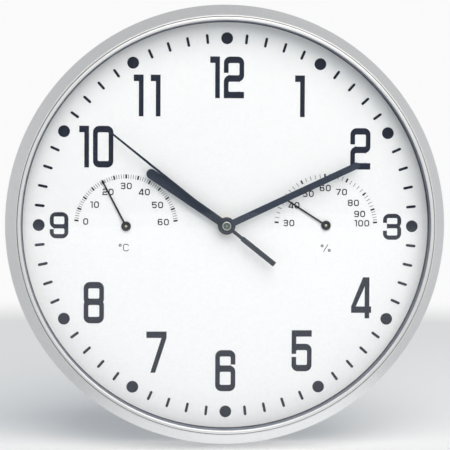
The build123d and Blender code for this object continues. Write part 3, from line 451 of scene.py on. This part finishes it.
dial_white = moulded("dial_white", light(237, 238, 239), light(242, 243, 244), (0.5, 0.6), 900,
                     0.006, 0.2)
seal_black = moulded("seal_black", light(14, 17, 26), light(24, 28, 40), (0.5, 0.65), 1200,
                     shine=0.2)
spacer_grey = moulded("spacer_grey", light(102, 110, 126), light(116, 124, 140), (0.5, 0.62), 1500,
                      shine=0.2)
gasket_black = moulded("gasket_black", light(24, 24, 25), light(40, 40, 42), (0.7, 0.85), 700, 0.05)
back_grey = moulded("back_grey", light(158, 160, 162), light(174, 175, 177), (0.5, 0.66), 1500,
                    0.03)
box_black = moulded("box_black", light(26, 27, 29), light(40, 41, 44), (0.34, 0.5), 1600, 0.02)
gear_white = moulded("gear_white", light(222, 218, 202), light(236, 232, 218), (0.36, 0.5), 2500)
gear_amber = moulded("gear_amber", light(214, 190, 138), light(228, 206, 158), (0.36, 0.5), 2500)
bobbin_red = moulded("bobbin_red", light(152, 44, 36), light(176, 58, 46), (0.36, 0.5), 2500)
knob_ivory = moulded("knob_ivory", light(205, 203, 196), light(222, 220, 213), (0.3, 0.44), 2000)
cup_ivory = moulded("cup_ivory", light(212, 211, 206), light(228, 227, 222), (0.42, 0.55), 1700)
chip_black = moulded("chip_black", light(18, 18, 19), light(30, 30, 32), (0.3, 0.45), 3500)


def laminate():
    """Green board with the faint weave of its glass cloth: two crossed sets of stripes."""
    material = new_finish("laminate", Roughness=0.4, Coat_Weight=0.3)
    nodes, links = material.node_tree.nodes, material.node_tree.links
    weave = nodes.new("ShaderNodeTexChecker")
    weave.inputs["Scale"].default_value = 1600
    links.new(object_place(material), weave.inputs["Vector"])
    vary_colour(material, weave.outputs["Fac"], light(32, 88, 52), light(40, 104, 62), 0.0, 1.0)
    emboss(material, noise(material, 1500, 2), 0.02, 0.3)
    return material


def wheel_on_pin():
    """White plastic moulded onto a thin steel pin, which shows along the wheel's axis."""
    material = new_finish("wheel_on_steel", Roughness=0.36, Specular_IOR_Level=0.45)
    vary_colour(material, from_axis(material, 0.6, 0.7), light(150, 158, 154),
                light(229, 225, 210), 0, 1)
    vary_gloss(material, noise(material, 2500 / 6, 2), 0.36, 0.5)
    emboss(material, noise(material, 2500, 4), 0.02, 0.4)
    return material


board_green = laminate()
wheel_on_steel = wheel_on_pin()

# %% [markdown]
# ## Metals
# Turned brass and aluminium carry rings from the tool, rolled strip carries long fine lines,
# and stamped steel is nearly plain with soft cloudy stains. The same noise does all three: it
# is the stretch of its coordinates that tells them apart.

# %% Metal finishes
def turned_metal(name, first, second, gloss=(0.16, 0.3)):
    """Bare metal with the rings of a lathe tool round its axis."""
    material = new_finish(name, Metallic=1.0, Roughness=gloss[0])
    rings = round_bands(material, 900)
    vary_colour(material, noise(material, 400, 3), first, second)
    vary_gloss(material, rings, *gloss)
    emboss(material, rings, 0.01, 0.2)
    return material


def eyelet_metal():
    """Bright on the rolled rim, and a dull grey-green painted shade in the recess and over the
    rim's inner edge. The colour follows the distance from the axis."""
    material = new_finish("eyelet_metal", Metallic=1.0, Roughness=0.25)
    # Painted shade: inside 2.3 mm the colour turns dark grey-green, over the recess and the inner
    # edge of the rolled rim.
    rim = from_axis(material, 2.3, 2.5)
    vary_colour(material, rim, light(98, 112, 107), light(206, 209, 205), 0, 1)
    vary_gloss(material, rim, 0.6, 0.3)
    return material


def rolled_metal(name, first, second, gloss=(0.24, 0.4), stretch=(60, 900, 60)):
    """Sheet metal with long fine lines, from noise stretched along them."""
    material = new_finish(name, Metallic=1.0, Roughness=gloss[0])
    lines = noise(material, 4, 5, stretch)
    vary_colour(material, lines, first, second)
    vary_gloss(material, noise(material, 260, 3), *gloss)
    emboss(material, lines, 0.01, 0.25)
    return material


tube_bright = eyelet_metal()
pin_pale = turned_metal("pin_pale", light(222, 216, 188), light(236, 231, 206), (0.25, 0.35))
brass = turned_metal("brass", light(198, 166, 102), light(214, 184, 122))
plated_steel = rolled_metal("plated_steel", light(176, 178, 180), light(198, 199, 200))
tab_steel = rolled_metal("tab_steel", light(184, 185, 186), light(204, 204, 204), (0.3, 0.46))
motor_iron = rolled_metal("motor_iron", light(138, 138, 140), light(160, 160, 161), (0.36, 0.5))
contact_strip = rolled_metal("contact_strip", light(196, 194, 184), light(214, 212, 202),
                             (0.2, 0.34))
bimetal = rolled_metal("bimetal", light(190, 158, 100), light(208, 178, 120), (0.22, 0.36))
can_silver = turned_metal("can_silver", light(190, 191, 193), light(208, 208, 210), (0.2, 0.32))


def copper_winding():
    """Enamelled wire wound side by side: even ribs across the length of the coil."""
    material = new_finish("copper_winding", Metallic=1.0, Roughness=0.28, Coat_Weight=0.4)
    nodes, links = material.node_tree.nodes, material.node_tree.links
    ribs = nodes.new("ShaderNodeTexWave")
    ribs.bands_direction = "X"
    ribs.inputs["Scale"].default_value = 900
    ribs.inputs["Distortion"].default_value = 0.4
    links.new(object_place(material), ribs.inputs["Vector"])
    vary_colour(material, ribs.outputs["Fac"], light(150, 78, 42), light(204, 122, 74), 0.1, 0.8)
    emboss(material, ribs.outputs["Fac"], 0.06, 0.6)
    return material


CELL_ENDS = -26, 24


def cell_jacket():
    """A shrunk foil sleeve: dark with a broad copper-coloured band at the button end."""
    material = new_finish("cell_jacket", Metallic=0.7, Roughness=0.3, Coat_Weight=0.5)
    apart = material.node_tree.nodes.new("ShaderNodeSeparateXYZ")
    material.node_tree.links.new(object_place(material), apart.inputs["Vector"])
    along = ranged(material, apart.outputs["X"], (CELL_ENDS[0] * MM, CELL_ENDS[1] * MM))
    bare_metal_and_groove_shade, copper, dark = light(196, 196, 194), light(176, 112, 62), light(44, 48, 56)
    stops = [(0.0, bare_metal_and_groove_shade), (0.03, copper), (0.3, dark), (0.97, bare_metal_and_groove_shade)]
    feed(material, "Base Color", colours(material, along, stops, "CONSTANT"))
    emboss(material, noise(material, 300, 3), 0.03, 0.2)
    return material


wire_copper = copper_winding()
jacket = cell_jacket()

# %% [markdown]
# ## Clear lens
# The lens is a flat polished sheet. Plain glass would cast a grey shadow on the dial, because
# the renderer can't send lamp light through it. So the glass lets shadow rays and every ray
# that comes back from the dial pass straight through, and is glass to the camera only.

# %% Lens finish
def seen_from(material, *ray_kinds):
    """1 where any of these kinds of ray asks for the colour, else 0."""
    rays = material.node_tree.nodes.new("ShaderNodeLightPath")
    value = rays.outputs[ray_kinds[0]]
    for kind in ray_kinds[1:]:
        value = worked_out(material, "MAXIMUM", value, rays.outputs[kind])
    return value


def clear_sheet():
    """Glass to the camera, and nothing to the rays that carry light to and from the dial."""
    material = new_finish("clear_sheet", Base_Color=(0.985, 0.992, 0.995, 1), Roughness=0.02,
                          IOR=1.46, Transmission_Weight=1.0)
    nodes = material.node_tree.nodes
    clear = nodes.new("ShaderNodeBsdfTransparent")
    passing = seen_from(material, "Is Shadow Ray", "Is Diffuse Ray", "Is Reflection Ray")
    shader = chosen(material, passing, nodes["Principled BSDF"].outputs["BSDF"],
                    clear.outputs["BSDF"])
    material.node_tree.links.new(shader, nodes["Material Output"].inputs["Surface"])
    return material


lens_clear = clear_sheet()

# %% [markdown]
# ## The rim
# The silver rim is the piece the eye meets first. From the wall it rises as a nearly straight
# skirt, turns through a soft edge into a sloping band, drops into a hairline groove and ends
# in a rolled lip that hides the lens's edge. One closed profile holds all of that, with the
# hollow behind the band as part of it. Six bosses for the screws of the back plate stand in
# that hollow. They belong to the same moulding, so they are joined to the rim.

# %% Rim
CASE_RADIUS, CASE_DEPTH, OPENING_RADIUS = 150.0, 40.0, 137.7
LENS_TOP, LENS_LOW = 38.4, 36.4
FLANGE_TOP = 18.0
BAND_FOOT, BAND_SLOPE, BAND_UNDER = 22.1, 1.7766, 4.49
SCREW_RING = 145.45
SCREW_ANGLES = [30 + 60 * index for index in range(6)]
BOSS_RADIUS, BOSS_TOP = 2.75, 26.5
HOLE_RADIUS, HOLE_END = 1.1, 26.0
BOSS_BITE = 0.6

rim_profile = rounded(
    [(149.2, 0.02), (CASE_RADIUS, BAND_FOOT), (140.6, 38.8), (140.0, 38.3), (140.0, CASE_DEPTH),
     (OPENING_RADIUS, CASE_DEPTH), (OPENING_RADIUS, LENS_TOP), (141.3, LENS_TOP),
     (141.3, FLANGE_TOP), (143.1, FLANGE_TOP), (143.1, 29.87), (147.8, 21.52),
     (147.8, FLANGE_TOP), (147.05, 0.02)],
    [0.3, 2.5, 0.3, 0.05, 0.72, 0.75, 0.1, 0.1, 0.1, 0.2, 0.4, 0.4, 0.2, 0.3], steps=8,
    guard=0.05)


def ring_place(radius, angle):
    """A point at a clockwise angle from twelve."""
    return (radius * math.sin(math.radians(angle)), radius * math.cos(math.radians(angle)))


def screw_boss(angle):
    """A short turned post with a blind hole. Its edge follows the underside of the band, and
    bites a little into it: at distance R from the clock's axis the underside lies at
    foot + (150 - R) x slope - thickness."""
    edge = BOSS_TOP - BOSS_RADIUS
    points, faces = lathe([(0, HOLE_END), (HOLE_RADIUS, HOLE_END), (HOLE_RADIUS, FLANGE_TOP),
                           (BOSS_RADIUS, FLANGE_TOP), (BOSS_RADIUS, edge), (0, BOSS_TOP)],
                          ring_place(SCREW_RING, angle), 24, False)
    reach = CASE_RADIUS - np.hypot(points[:, 0], points[:, 1])
    under = BAND_FOOT + reach * BAND_SLOPE - BAND_UNDER
    points[:, 2] = np.where(points[:, 2] == edge, under + BOSS_BITE, points[:, 2])
    return points, faces


def joined(shapes):
    """Puts several closed shapes into one list of points and faces."""
    points, faces, count = [], [], 0
    for shape_points, shape_faces in shapes:
        if fan_volume(placed(shape_points), shape_faces) < 0:
            shape_faces = [face[::-1] for face in shape_faces]
        points.append(shape_points)
        faces.extend([[i + count for i in face] for face in shape_faces])
        count += len(shape_points)
    return np.concatenate(points), faces


rim_shapes = [lathe(rim_profile, steps=360)] + [screw_boss(angle) for angle in SCREW_ANGLES]
add_piece("silver_rim", *joined(rim_shapes), silver, "root", ["bezel"], "silver_rim", 40)

# %% [markdown]
# ## Lens, inner wall and dial
# Behind the lip lies the stack: the lens, a grey spacer, a black seal, and the dial. The
# spacer and the seal are what shows as a thin grey line over a dark line around the dial,
# because the eye looks slightly down into the rim.

# %% Stack
STACK_RADIUS, RING_RADIUS = 141.0, 137.6
SPACER_LOW, DIAL_TOP, DIAL_LOW = 31.2, 26.0, 25.4


def square_ring(outer, inner, low, high, ease=0.15):
    """A rectangle turned about the axis, with slightly rounded corners."""
    return lathe(rounded([(inner, low), (outer, low), (outer, high), (inner, high)], ease, 3))


add_piece("lens_sheet", *lathe(rounded([(0, LENS_LOW), (STACK_RADIUS, LENS_LOW),
                                        (STACK_RADIUS, LENS_TOP), (0, LENS_TOP)],
                                       [0, 0.25, 0.25, 0], 3), closed=False),
          lens_clear, "root", ["lens"], "clear_lens")
add_piece("spacer", *square_ring(STACK_RADIUS, RING_RADIUS, SPACER_LOW, LENS_LOW), spacer_grey,
          "root", ["spacer_ring"], "silver_rim")
add_piece("seal", *square_ring(STACK_RADIUS, RING_RADIUS, DIAL_TOP, SPACER_LOW), seal_black,
          "root", ["dust_seal"], "black_seal")

INSTRUMENTS = {"thermometer": ((-67.9, -0.6), -27.65), "hygrometer": ((67.9, 0.4), -57.3)}
dial_holes = [circle(4.0, steps=48, clockwise=True)]
dial_holes += [circle(1.6, place, 32, True) for place, _ in INSTRUMENTS.values()]
add_piece("dial_plate", *stamped([circle(STACK_RADIUS, steps=256)] + dial_holes, DIAL_LOW,
                                 DIAL_TOP, 0.05), dial_white, "root", ["dial"], "dial_white")

# %% [markdown]
# ## Hands
# A hand is a round hub and a tapering blade in one outline. The blade's edges start where they
# leave the hub's circle, which is where a straight line crosses it. The three hands ride on
# three bodies, because they turn at three speeds.

# %% Hands
def leaves_hub(hub, half_root, half_end, length):
    """The point of a straight edge from (half_root, 0) to (half_end, length) that lies on the
    hub's circle: x = half_root + slope y with x^2 + y^2 = hub^2, solved for y."""
    slope = (half_end - half_root) / length
    a, b, c = 1 + slope ** 2, 2 * half_root * slope, half_root ** 2 - hub ** 2
    up = (-b + math.sqrt(b * b - 4 * a * c)) / (2 * a)
    return half_root + slope * up, up


def arc(radius, first, last, steps, centre=(0, 0)):
    """Points on a circle from one angle to another, anticlockwise from the right, ends left
    out."""
    turn = np.radians(np.linspace(first, last, steps + 2)[1:-1])
    return np.stack([centre[0] + radius * np.cos(turn), centre[1] + radius * np.sin(turn)], axis=1)


def blade_hand(length, root_width, tip_width, hub=5.9):
    """Up the right edge, round the tip, down the left edge and round the hub."""
    half_tip = tip_width / 2
    shoulder = length - half_tip
    side, up = leaves_hub(hub, root_width / 2, half_tip, shoulder)
    angle = math.degrees(math.atan2(up, side))
    return np.concatenate([
        [(side, up), (half_tip, shoulder)], arc(half_tip, 0, 180, 15, (0, shoulder)),
        [(-half_tip, shoulder), (-side, up)], arc(hub, 180 - angle, 360 + angle, 56)])


def sweep_hand(hub=4.2, length=101.0, root=1.1, tip=0.65, shank=1.15, weight=1.75,
               weight_start=13.3, weight_end=41.5):
    """A thin needle up, and down a shank with a wider counterweight bar. The root, tip, shank
    and weight are half widths."""
    side, up = leaves_hub(hub, root, tip, length)
    above = math.degrees(math.atan2(up, side))
    below = math.degrees(math.asin(shank / hub))
    foot = math.sqrt(hub ** 2 - shank ** 2)
    return np.concatenate([
        [(side, up), (tip, length), (-tip, length), (-side, up)],
        arc(hub, 180 - above, 270 - below, 24),
        [(-shank, -foot), (-shank, -weight_start), (-weight, -weight_start),
         (-weight, -weight_end), (weight, -weight_end), (weight, -weight_start),
         (shank, -weight_start), (shank, -foot)],
        arc(hub, 270 + below, 360 + above, 24)])


def add_hand(name, outline, bore, low, high, angle, material, body, stands_for, finish,
             centre=(0, 0), ease=0.12):
    """A stamped hand, turned clockwise from twelve by the angle."""
    hole = circle(bore, steps=40, clockwise=True)
    loops = [turned_by(outline, angle, centre), turned_by(hole, angle, centre)]
    return add_piece(name, *stamped(loops, low, high, ease), material, body, stands_for, finish,
                     25)


add_hand("hour_blade", blade_hand(65.0, 5.4, 6.8), 2.57, 30.2, 31.2, -55.6, hand_black,
         "hour_hand", ["hour_hand"], "hand_paint")
add_hand("minute_blade", blade_hand(99.0, 4.6, 4.4), 1.77, 32.4, 33.2, 64.9, hand_black,
         "minute_hand", ["minute_hand"], "hand_paint")
add_hand("sweep_needle", sweep_hand(), 1.12, 34.0, 34.6, -51.35, sweep_black, "second_hand",
         ["second_hand"], "hand_paint", ease=0.08)

# %% [markdown]
# A bright metal eyelet presses the sweep hand onto its pin. Its rim stands up around a recess
# with painted shade in it, so it shows as a small ring in the middle of the clock.

# %% Eyelet
eyelet_profile = rounded([(0.545, 33.5), (1.1, 33.5), (1.1, 34.6), (2.95, 34.6), (2.95, 35.5),
                          (2.0, 35.5), (2.0, 34.9), (0.545, 34.9)],
                         [0.05, 0.1, 0, 0.1, 0.45, 0.4, 0.15, 0.05], 6, 0.03)
add_piece("eyelet", *lathe(eyelet_profile, steps=96), tube_bright, "second_hand",
          ["second_hand_tube"], "bright_tube")

# %% [markdown]
# ## Instrument pointers
# Both instruments use the same needle: a small hub, a thin shaft and a lozenge just before the
# tip. A brass pin with a domed end carries it, and goes down through the dial into the cup
# behind, where a collet grips the coiled strip.

# %% Pointers
def needle(hub=3.25, root=0.65, neck=0.5, head=1.1, shaft=32.0, widest=33.6, tip=35.2):
    """The right half up to the tip, the left half down, and round the hub. The root, neck and
    head are half widths."""
    side, up = leaves_hub(hub, root, neck, shaft)
    angle = math.degrees(math.atan2(up, side))
    return np.concatenate([
        [(side, up), (neck, shaft), (head, widest), (0.0, tip), (-head, widest), (-neck, shaft),
         (-side, up)], arc(hub, 180 - angle, 360 + angle, 40)])


pin_profile = rounded([(0, 15.0), (0.85, 15.0), (0.85, 18.0), (1.4, 18.0), (1.4, 21.0),
                       (0.85, 21.0), (0.85, 27.7), (0, 27.7)],
                      [0, 0.1, 0, 0.1, 0.1, 0, 0.35, 0], 5, 0.04)
for name, (place, reading) in INSTRUMENTS.items():
    body = name + "_pointer"
    add_hand(name + "_needle", needle(), 0.87, 26.7, 27.2, reading, pointer_black, body,
             [name + "_pointer"], "pointer_paint", place, 0.06)
    add_piece(name + "_pin", *lathe(pin_profile, place, 48, False), pin_pale, body,
              [name + "_arbor"], "brass_turned")

# %% [markdown]
# ## Pieces that keep their shape
# The back plate, the movement's box, the cups and the small fittings have the right shape
# already, but every edge of a computed solid is razor sharp. A merged copy of each gets a
# narrow bevel, because moulded and stamped edges always catch a thin line of light.

# %% Eased copies
def eased_copy(node, material, body, width=0.25, segments=2):
    """Merges the loose triangles of a part, clears the lines across its flat faces and adds
    a bevel along every edge sharper than 30 degrees."""
    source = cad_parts[node]
    shape = bmesh.new()
    shape.from_mesh(source.data)
    bmesh.ops.remove_doubles(shape, verts=shape.verts, dist=2e-6)
    bmesh.ops.dissolve_limit(shape, angle_limit=math.radians(0.6), verts=shape.verts,
                             edges=shape.edges)
    shape.verts.ensure_lookup_table()
    points = [tuple(vertex.co) for vertex in shape.verts]
    faces = [[vertex.index for vertex in face.verts] for face in shape.faces]
    shape.free()
    mesh = bpy.data.meshes.new(node + "_eased")
    mesh.from_pydata(points, [], faces)
    mesh.shade_smooth()
    mesh.set_sharp_from_angle(angle=math.radians(30))
    piece = bpy.data.objects.new(node + "_eased", mesh)
    bpy.context.scene.collection.objects.link(piece)
    mesh.materials.append(material)
    bevel = piece.modifiers.new("eased edges", "BEVEL")
    bevel.width = width * MM
    bevel.segments = segments
    bevel.limit_method = "ANGLE"
    bevel.angle_limit = math.radians(30)
    bevel.use_clamp_overlap = True
    bevel.harden_normals = True
    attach(piece, body)
    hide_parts(node)
    print(node, "eased,", len(faces), "faces")
    return piece


eased_parts = [
    ("back_plate", back_grey, "back_plastic", 0.4),
    ("movement_case", box_black, "movement_plastic", 0.3),
    ("movement_cover", box_black, "movement_plastic", 0.2),
    ("hanger", tab_steel, "hanger_steel", 0.15),
    ("thermometer_cup", cup_ivory, "cup_plastic", 0.2),
    ("thermometer_cap", cup_ivory, "cup_plastic", 0.15),
    ("hygrometer_cup", cup_ivory, "cup_plastic", 0.2),
    ("hygrometer_cap", cup_ivory, "cup_plastic", 0.15),
    ("case_screws", plated_steel, "screw_steel", 0.12),
    ("hex_nut", brass, "brass_turned", 0.2),
]
for node, material, finish, width in eased_parts:
    eased_copy(node, material, "root", width)
eased_copy("setting_knob", knob_ivory, "setting_knob", 0.15)

# %% [markdown]
# ## Everything else
# Print, wheels, coil, board and cell keep their computed shape and only change their finish.

# %% Finishes of the remaining parts
plain_parts = {
    "hour_numerals": hour_ink, "minute_track": hour_ink, "thermometer_scale": fine_ink,
    "hygrometer_scale": fine_ink, "threaded_bushing": brass, "brass_washer": brass,
    "rubber_gasket": gasket_black, "rotor": gear_white, "intermediate_wheel": gear_amber,
    "seconds_wheel": wheel_on_steel, "third_wheel": gear_amber, "centre_wheel": gear_white,
    "minute_arbor": gear_white, "minute_wheel": gear_amber, "hour_wheel": gear_white,
    "battery": jacket, "positive_contact": contact_strip, "negative_contact": contact_strip,
    "stator": motor_iron, "coil_core": motor_iron, "coil_bobbin": bobbin_red,
    "coil_winding": wire_copper, "circuit_board": board_green, "timing_chip": chip_black,
    "quartz_crystal": can_silver, "thermometer_coil": bimetal, "hygrometer_coil": bimetal,
}
for node, material in plain_parts.items():
    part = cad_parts[node]
    part.data.materials.clear()
    part.data.materials.append(material)
print(len(plain_parts), "parts with a new finish")

# %% [markdown]
# ## Room and light
# The clock stands just above a pale floor. One large soft lamp high in front of it, a little
# to the right, lays faint shadows of the hands to the lower left, as in the photograph. A
# pale world fills the rest: dim before the clock, where the lamp is, and bright behind it,
# where the lamp doesn't reach. It looks white to the camera and to glass. The rim mirrors it
# a little darker, so that the silver keeps its grey.

# %% Room and light
ROOM_WHITE = (0.96, 0.96, 0.96, 1)
AROUND = 0.74
FLOOR_HEIGHT, FLOOR_HALF = -0.152, 6.0
FLOOR_FADE = (0.2, 1.2)
# The floor's painted glow: mirrors see a spot under the clock shine at 1.3 times white.
PAINTED_GLOW_SPOT, PAINTED_GLOW_REACH, PAINTED_GLOW_LEVEL = (0.03, 0, 0), (0.16, 0.22), 1.3
LIGHT_BEFORE, LIGHT_BEHIND = (0.20, 0.25, 0.30, 1), (0.78, 0.79, 0.8, 1)
AHEAD, AHEAD_LEVEL = (-0.96, -0.8), 0.05
OVERHEAD, OVERHEAD_SHARES = (0.2, 1.0), (1.0, 0.55)
SIDES, SIDE_SHARES = (-1.0, 1.0), (1.12, 0.92)


def pale_floor():
    """A wide sheet just under the rim. Near the clock it is plain matt paint that takes the
    shadow, and further out it fades to the white of the room. For mirrors the floor glows,
    with a painted pool of light under the clock brighter than white, and beyond it a floor as
    pale as the room."""
    mesh = bpy.data.meshes.new("floor")
    corners = [(-1, -1), (1, -1), (1, 1), (-1, 1)]
    mesh.from_pydata([(x * FLOOR_HALF, y * FLOOR_HALF, FLOOR_HEIGHT) for x, y in corners], [],
                     [[0, 1, 2, 3]])
    floor = bpy.data.objects.new("floor", mesh)
    bpy.context.scene.collection.objects.link(floor)
    material = new_finish("floor_paint", Base_Color=(0.93, 0.93, 0.93, 1), Roughness=0.9,
                          Specular_IOR_Level=0.1)
    mesh.materials.append(material)
    nodes, links = material.node_tree.nodes, material.node_tree.links
    fade = ranged(material, distance_from(material), FLOOR_FADE, smooth=True)
    far = worked_out(material, "MULTIPLY", fade,
                     seen_from(material, "Is Camera Ray", "Is Transmission Ray"))
    glows = worked_out(material, "MAXIMUM", far, seen_from(material, "Is Glossy Ray"))
    # Painted glow for mirrors: strength 1.3 round the spot under the clock, falling to the room's
    # level further out.
    mirrored = ranged(material, distance_from(material, PAINTED_GLOW_SPOT), PAINTED_GLOW_REACH,
                      (PAINTED_GLOW_LEVEL, AROUND))
    white = nodes.new("ShaderNodeEmission")
    white.inputs["Color"].default_value = ROOM_WHITE
    links.new(worked_out(material, "MAXIMUM", mirrored, far), white.inputs["Strength"])
    shader = chosen(material, glows, nodes["Principled BSDF"].outputs["BSDF"],
                    white.outputs["Emission"])
    links.new(shader, nodes["Material Output"].inputs["Surface"])


def pale_world():
    """White where the camera or glass looks. Mirrors see a slightly darker room around the
    clock, darker still overhead, a little paler on the left, and a dim patch straight in
    front of it, as the photographer makes. Everything else gets one colour of light from
    before the clock and a paler one from behind it."""
    world = bpy.data.worlds.new("room")
    bpy.context.scene.world = world
    world.use_nodes = True
    nodes, links = world.node_tree.nodes, world.node_tree.links
    direction, apart = nodes.new("ShaderNodeTexCoord"), nodes.new("ShaderNodeSeparateXYZ")
    links.new(direction.outputs["Generated"], apart.inputs["Vector"])
    room = nodes["Background"]
    seen, mirrored = nodes.new("ShaderNodeBackground"), nodes.new("ShaderNodeBackground")
    seen.inputs["Color"].default_value = mirrored.inputs["Color"].default_value = ROOM_WHITE
    links.new(colours(world, apart.outputs["Y"], [(0.0, LIGHT_BEFORE), (0.5, LIGHT_BEHIND)]),
              room.inputs["Color"])
    depth = ranged(world, apart.outputs["Y"], AHEAD, (AHEAD_LEVEL, AROUND))
    height = ranged(world, apart.outputs["Z"], OVERHEAD, OVERHEAD_SHARES)
    side = ranged(world, apart.outputs["X"], SIDES, SIDE_SHARES)
    level = worked_out(world, "MULTIPLY", worked_out(world, "MULTIPLY", depth, height), side)
    links.new(level, mirrored.inputs["Strength"])
    unseen = chosen(world, seen_from(world, "Is Glossy Ray"), room.outputs["Background"],
                    mirrored.outputs["Background"])
    shader = chosen(world, seen_from(world, "Is Camera Ray", "Is Transmission Ray"), unseen,
                    seen.outputs["Background"])
    links.new(shader, nodes["World Output"].inputs["Surface"])


def soft_lamp(name, place, size, watts, colour):
    """A square lamp at a place in metres that faces the clock."""
    data = bpy.data.lights.new(name, "AREA")
    data.shape = "SQUARE"
    data.size = size
    data.energy = watts
    data.color = colour
    lamp = bpy.data.objects.new(name, data)
    bpy.context.scene.collection.objects.link(lamp)
    lamp.location = place
    lamp.rotation_euler = (-Vector(place)).to_track_quat("-Z", "Y").to_euler()


pale_floor()
pale_world()
soft_lamp("key_lamp", (0.4, -1.75, 1.5), 2.4, 59, (1.0, 0.955, 0.90))

# %% [markdown]
# ## Camera
# The photograph was taken from about a metre away with a long lens, a little from the left
# and a little from above: small turns that the rim's visible inner wall gives away. They were
# measured from the rim, the dial's edge and the numerals. The camera is placed by turning the
# clock's own axes by those angles.

# %% Camera
DISTANCE, YAW, PITCH, ROLL = 1.0, 2.42, 2.00, 0.277
turn = (Matrix.Rotation(math.radians(ROLL), 3, "Y") @ Matrix.Rotation(math.radians(PITCH), 3, "X")
        @ Matrix.Rotation(math.radians(YAW), 3, "Z"))
back = turn.transposed()
axes = Matrix((back @ Vector((1, 0, 0)), back @ Vector((0, 0, 1)), back @ Vector((0, -1, 0))))
camera_data = bpy.data.cameras.new("camera")
camera_data.sensor_width = 36.0
camera_data.sensor_fit = "HORIZONTAL"
camera_data.lens = 114.66
camera_data.shift_x = 0.0009
camera_data.shift_y = -0.0016
camera = bpy.data.objects.new("camera", camera_data)
bpy.context.scene.collection.objects.link(camera)
camera.matrix_world = (Matrix.Translation(back @ Vector((0, -DISTANCE, 0)))
                       @ axes.transposed().to_4x4())
bpy.context.scene.camera = camera
bpy.context.scene.view_settings.view_transform = "Standard"
print("camera at", tuple(round(v, 3) for v in camera.location))
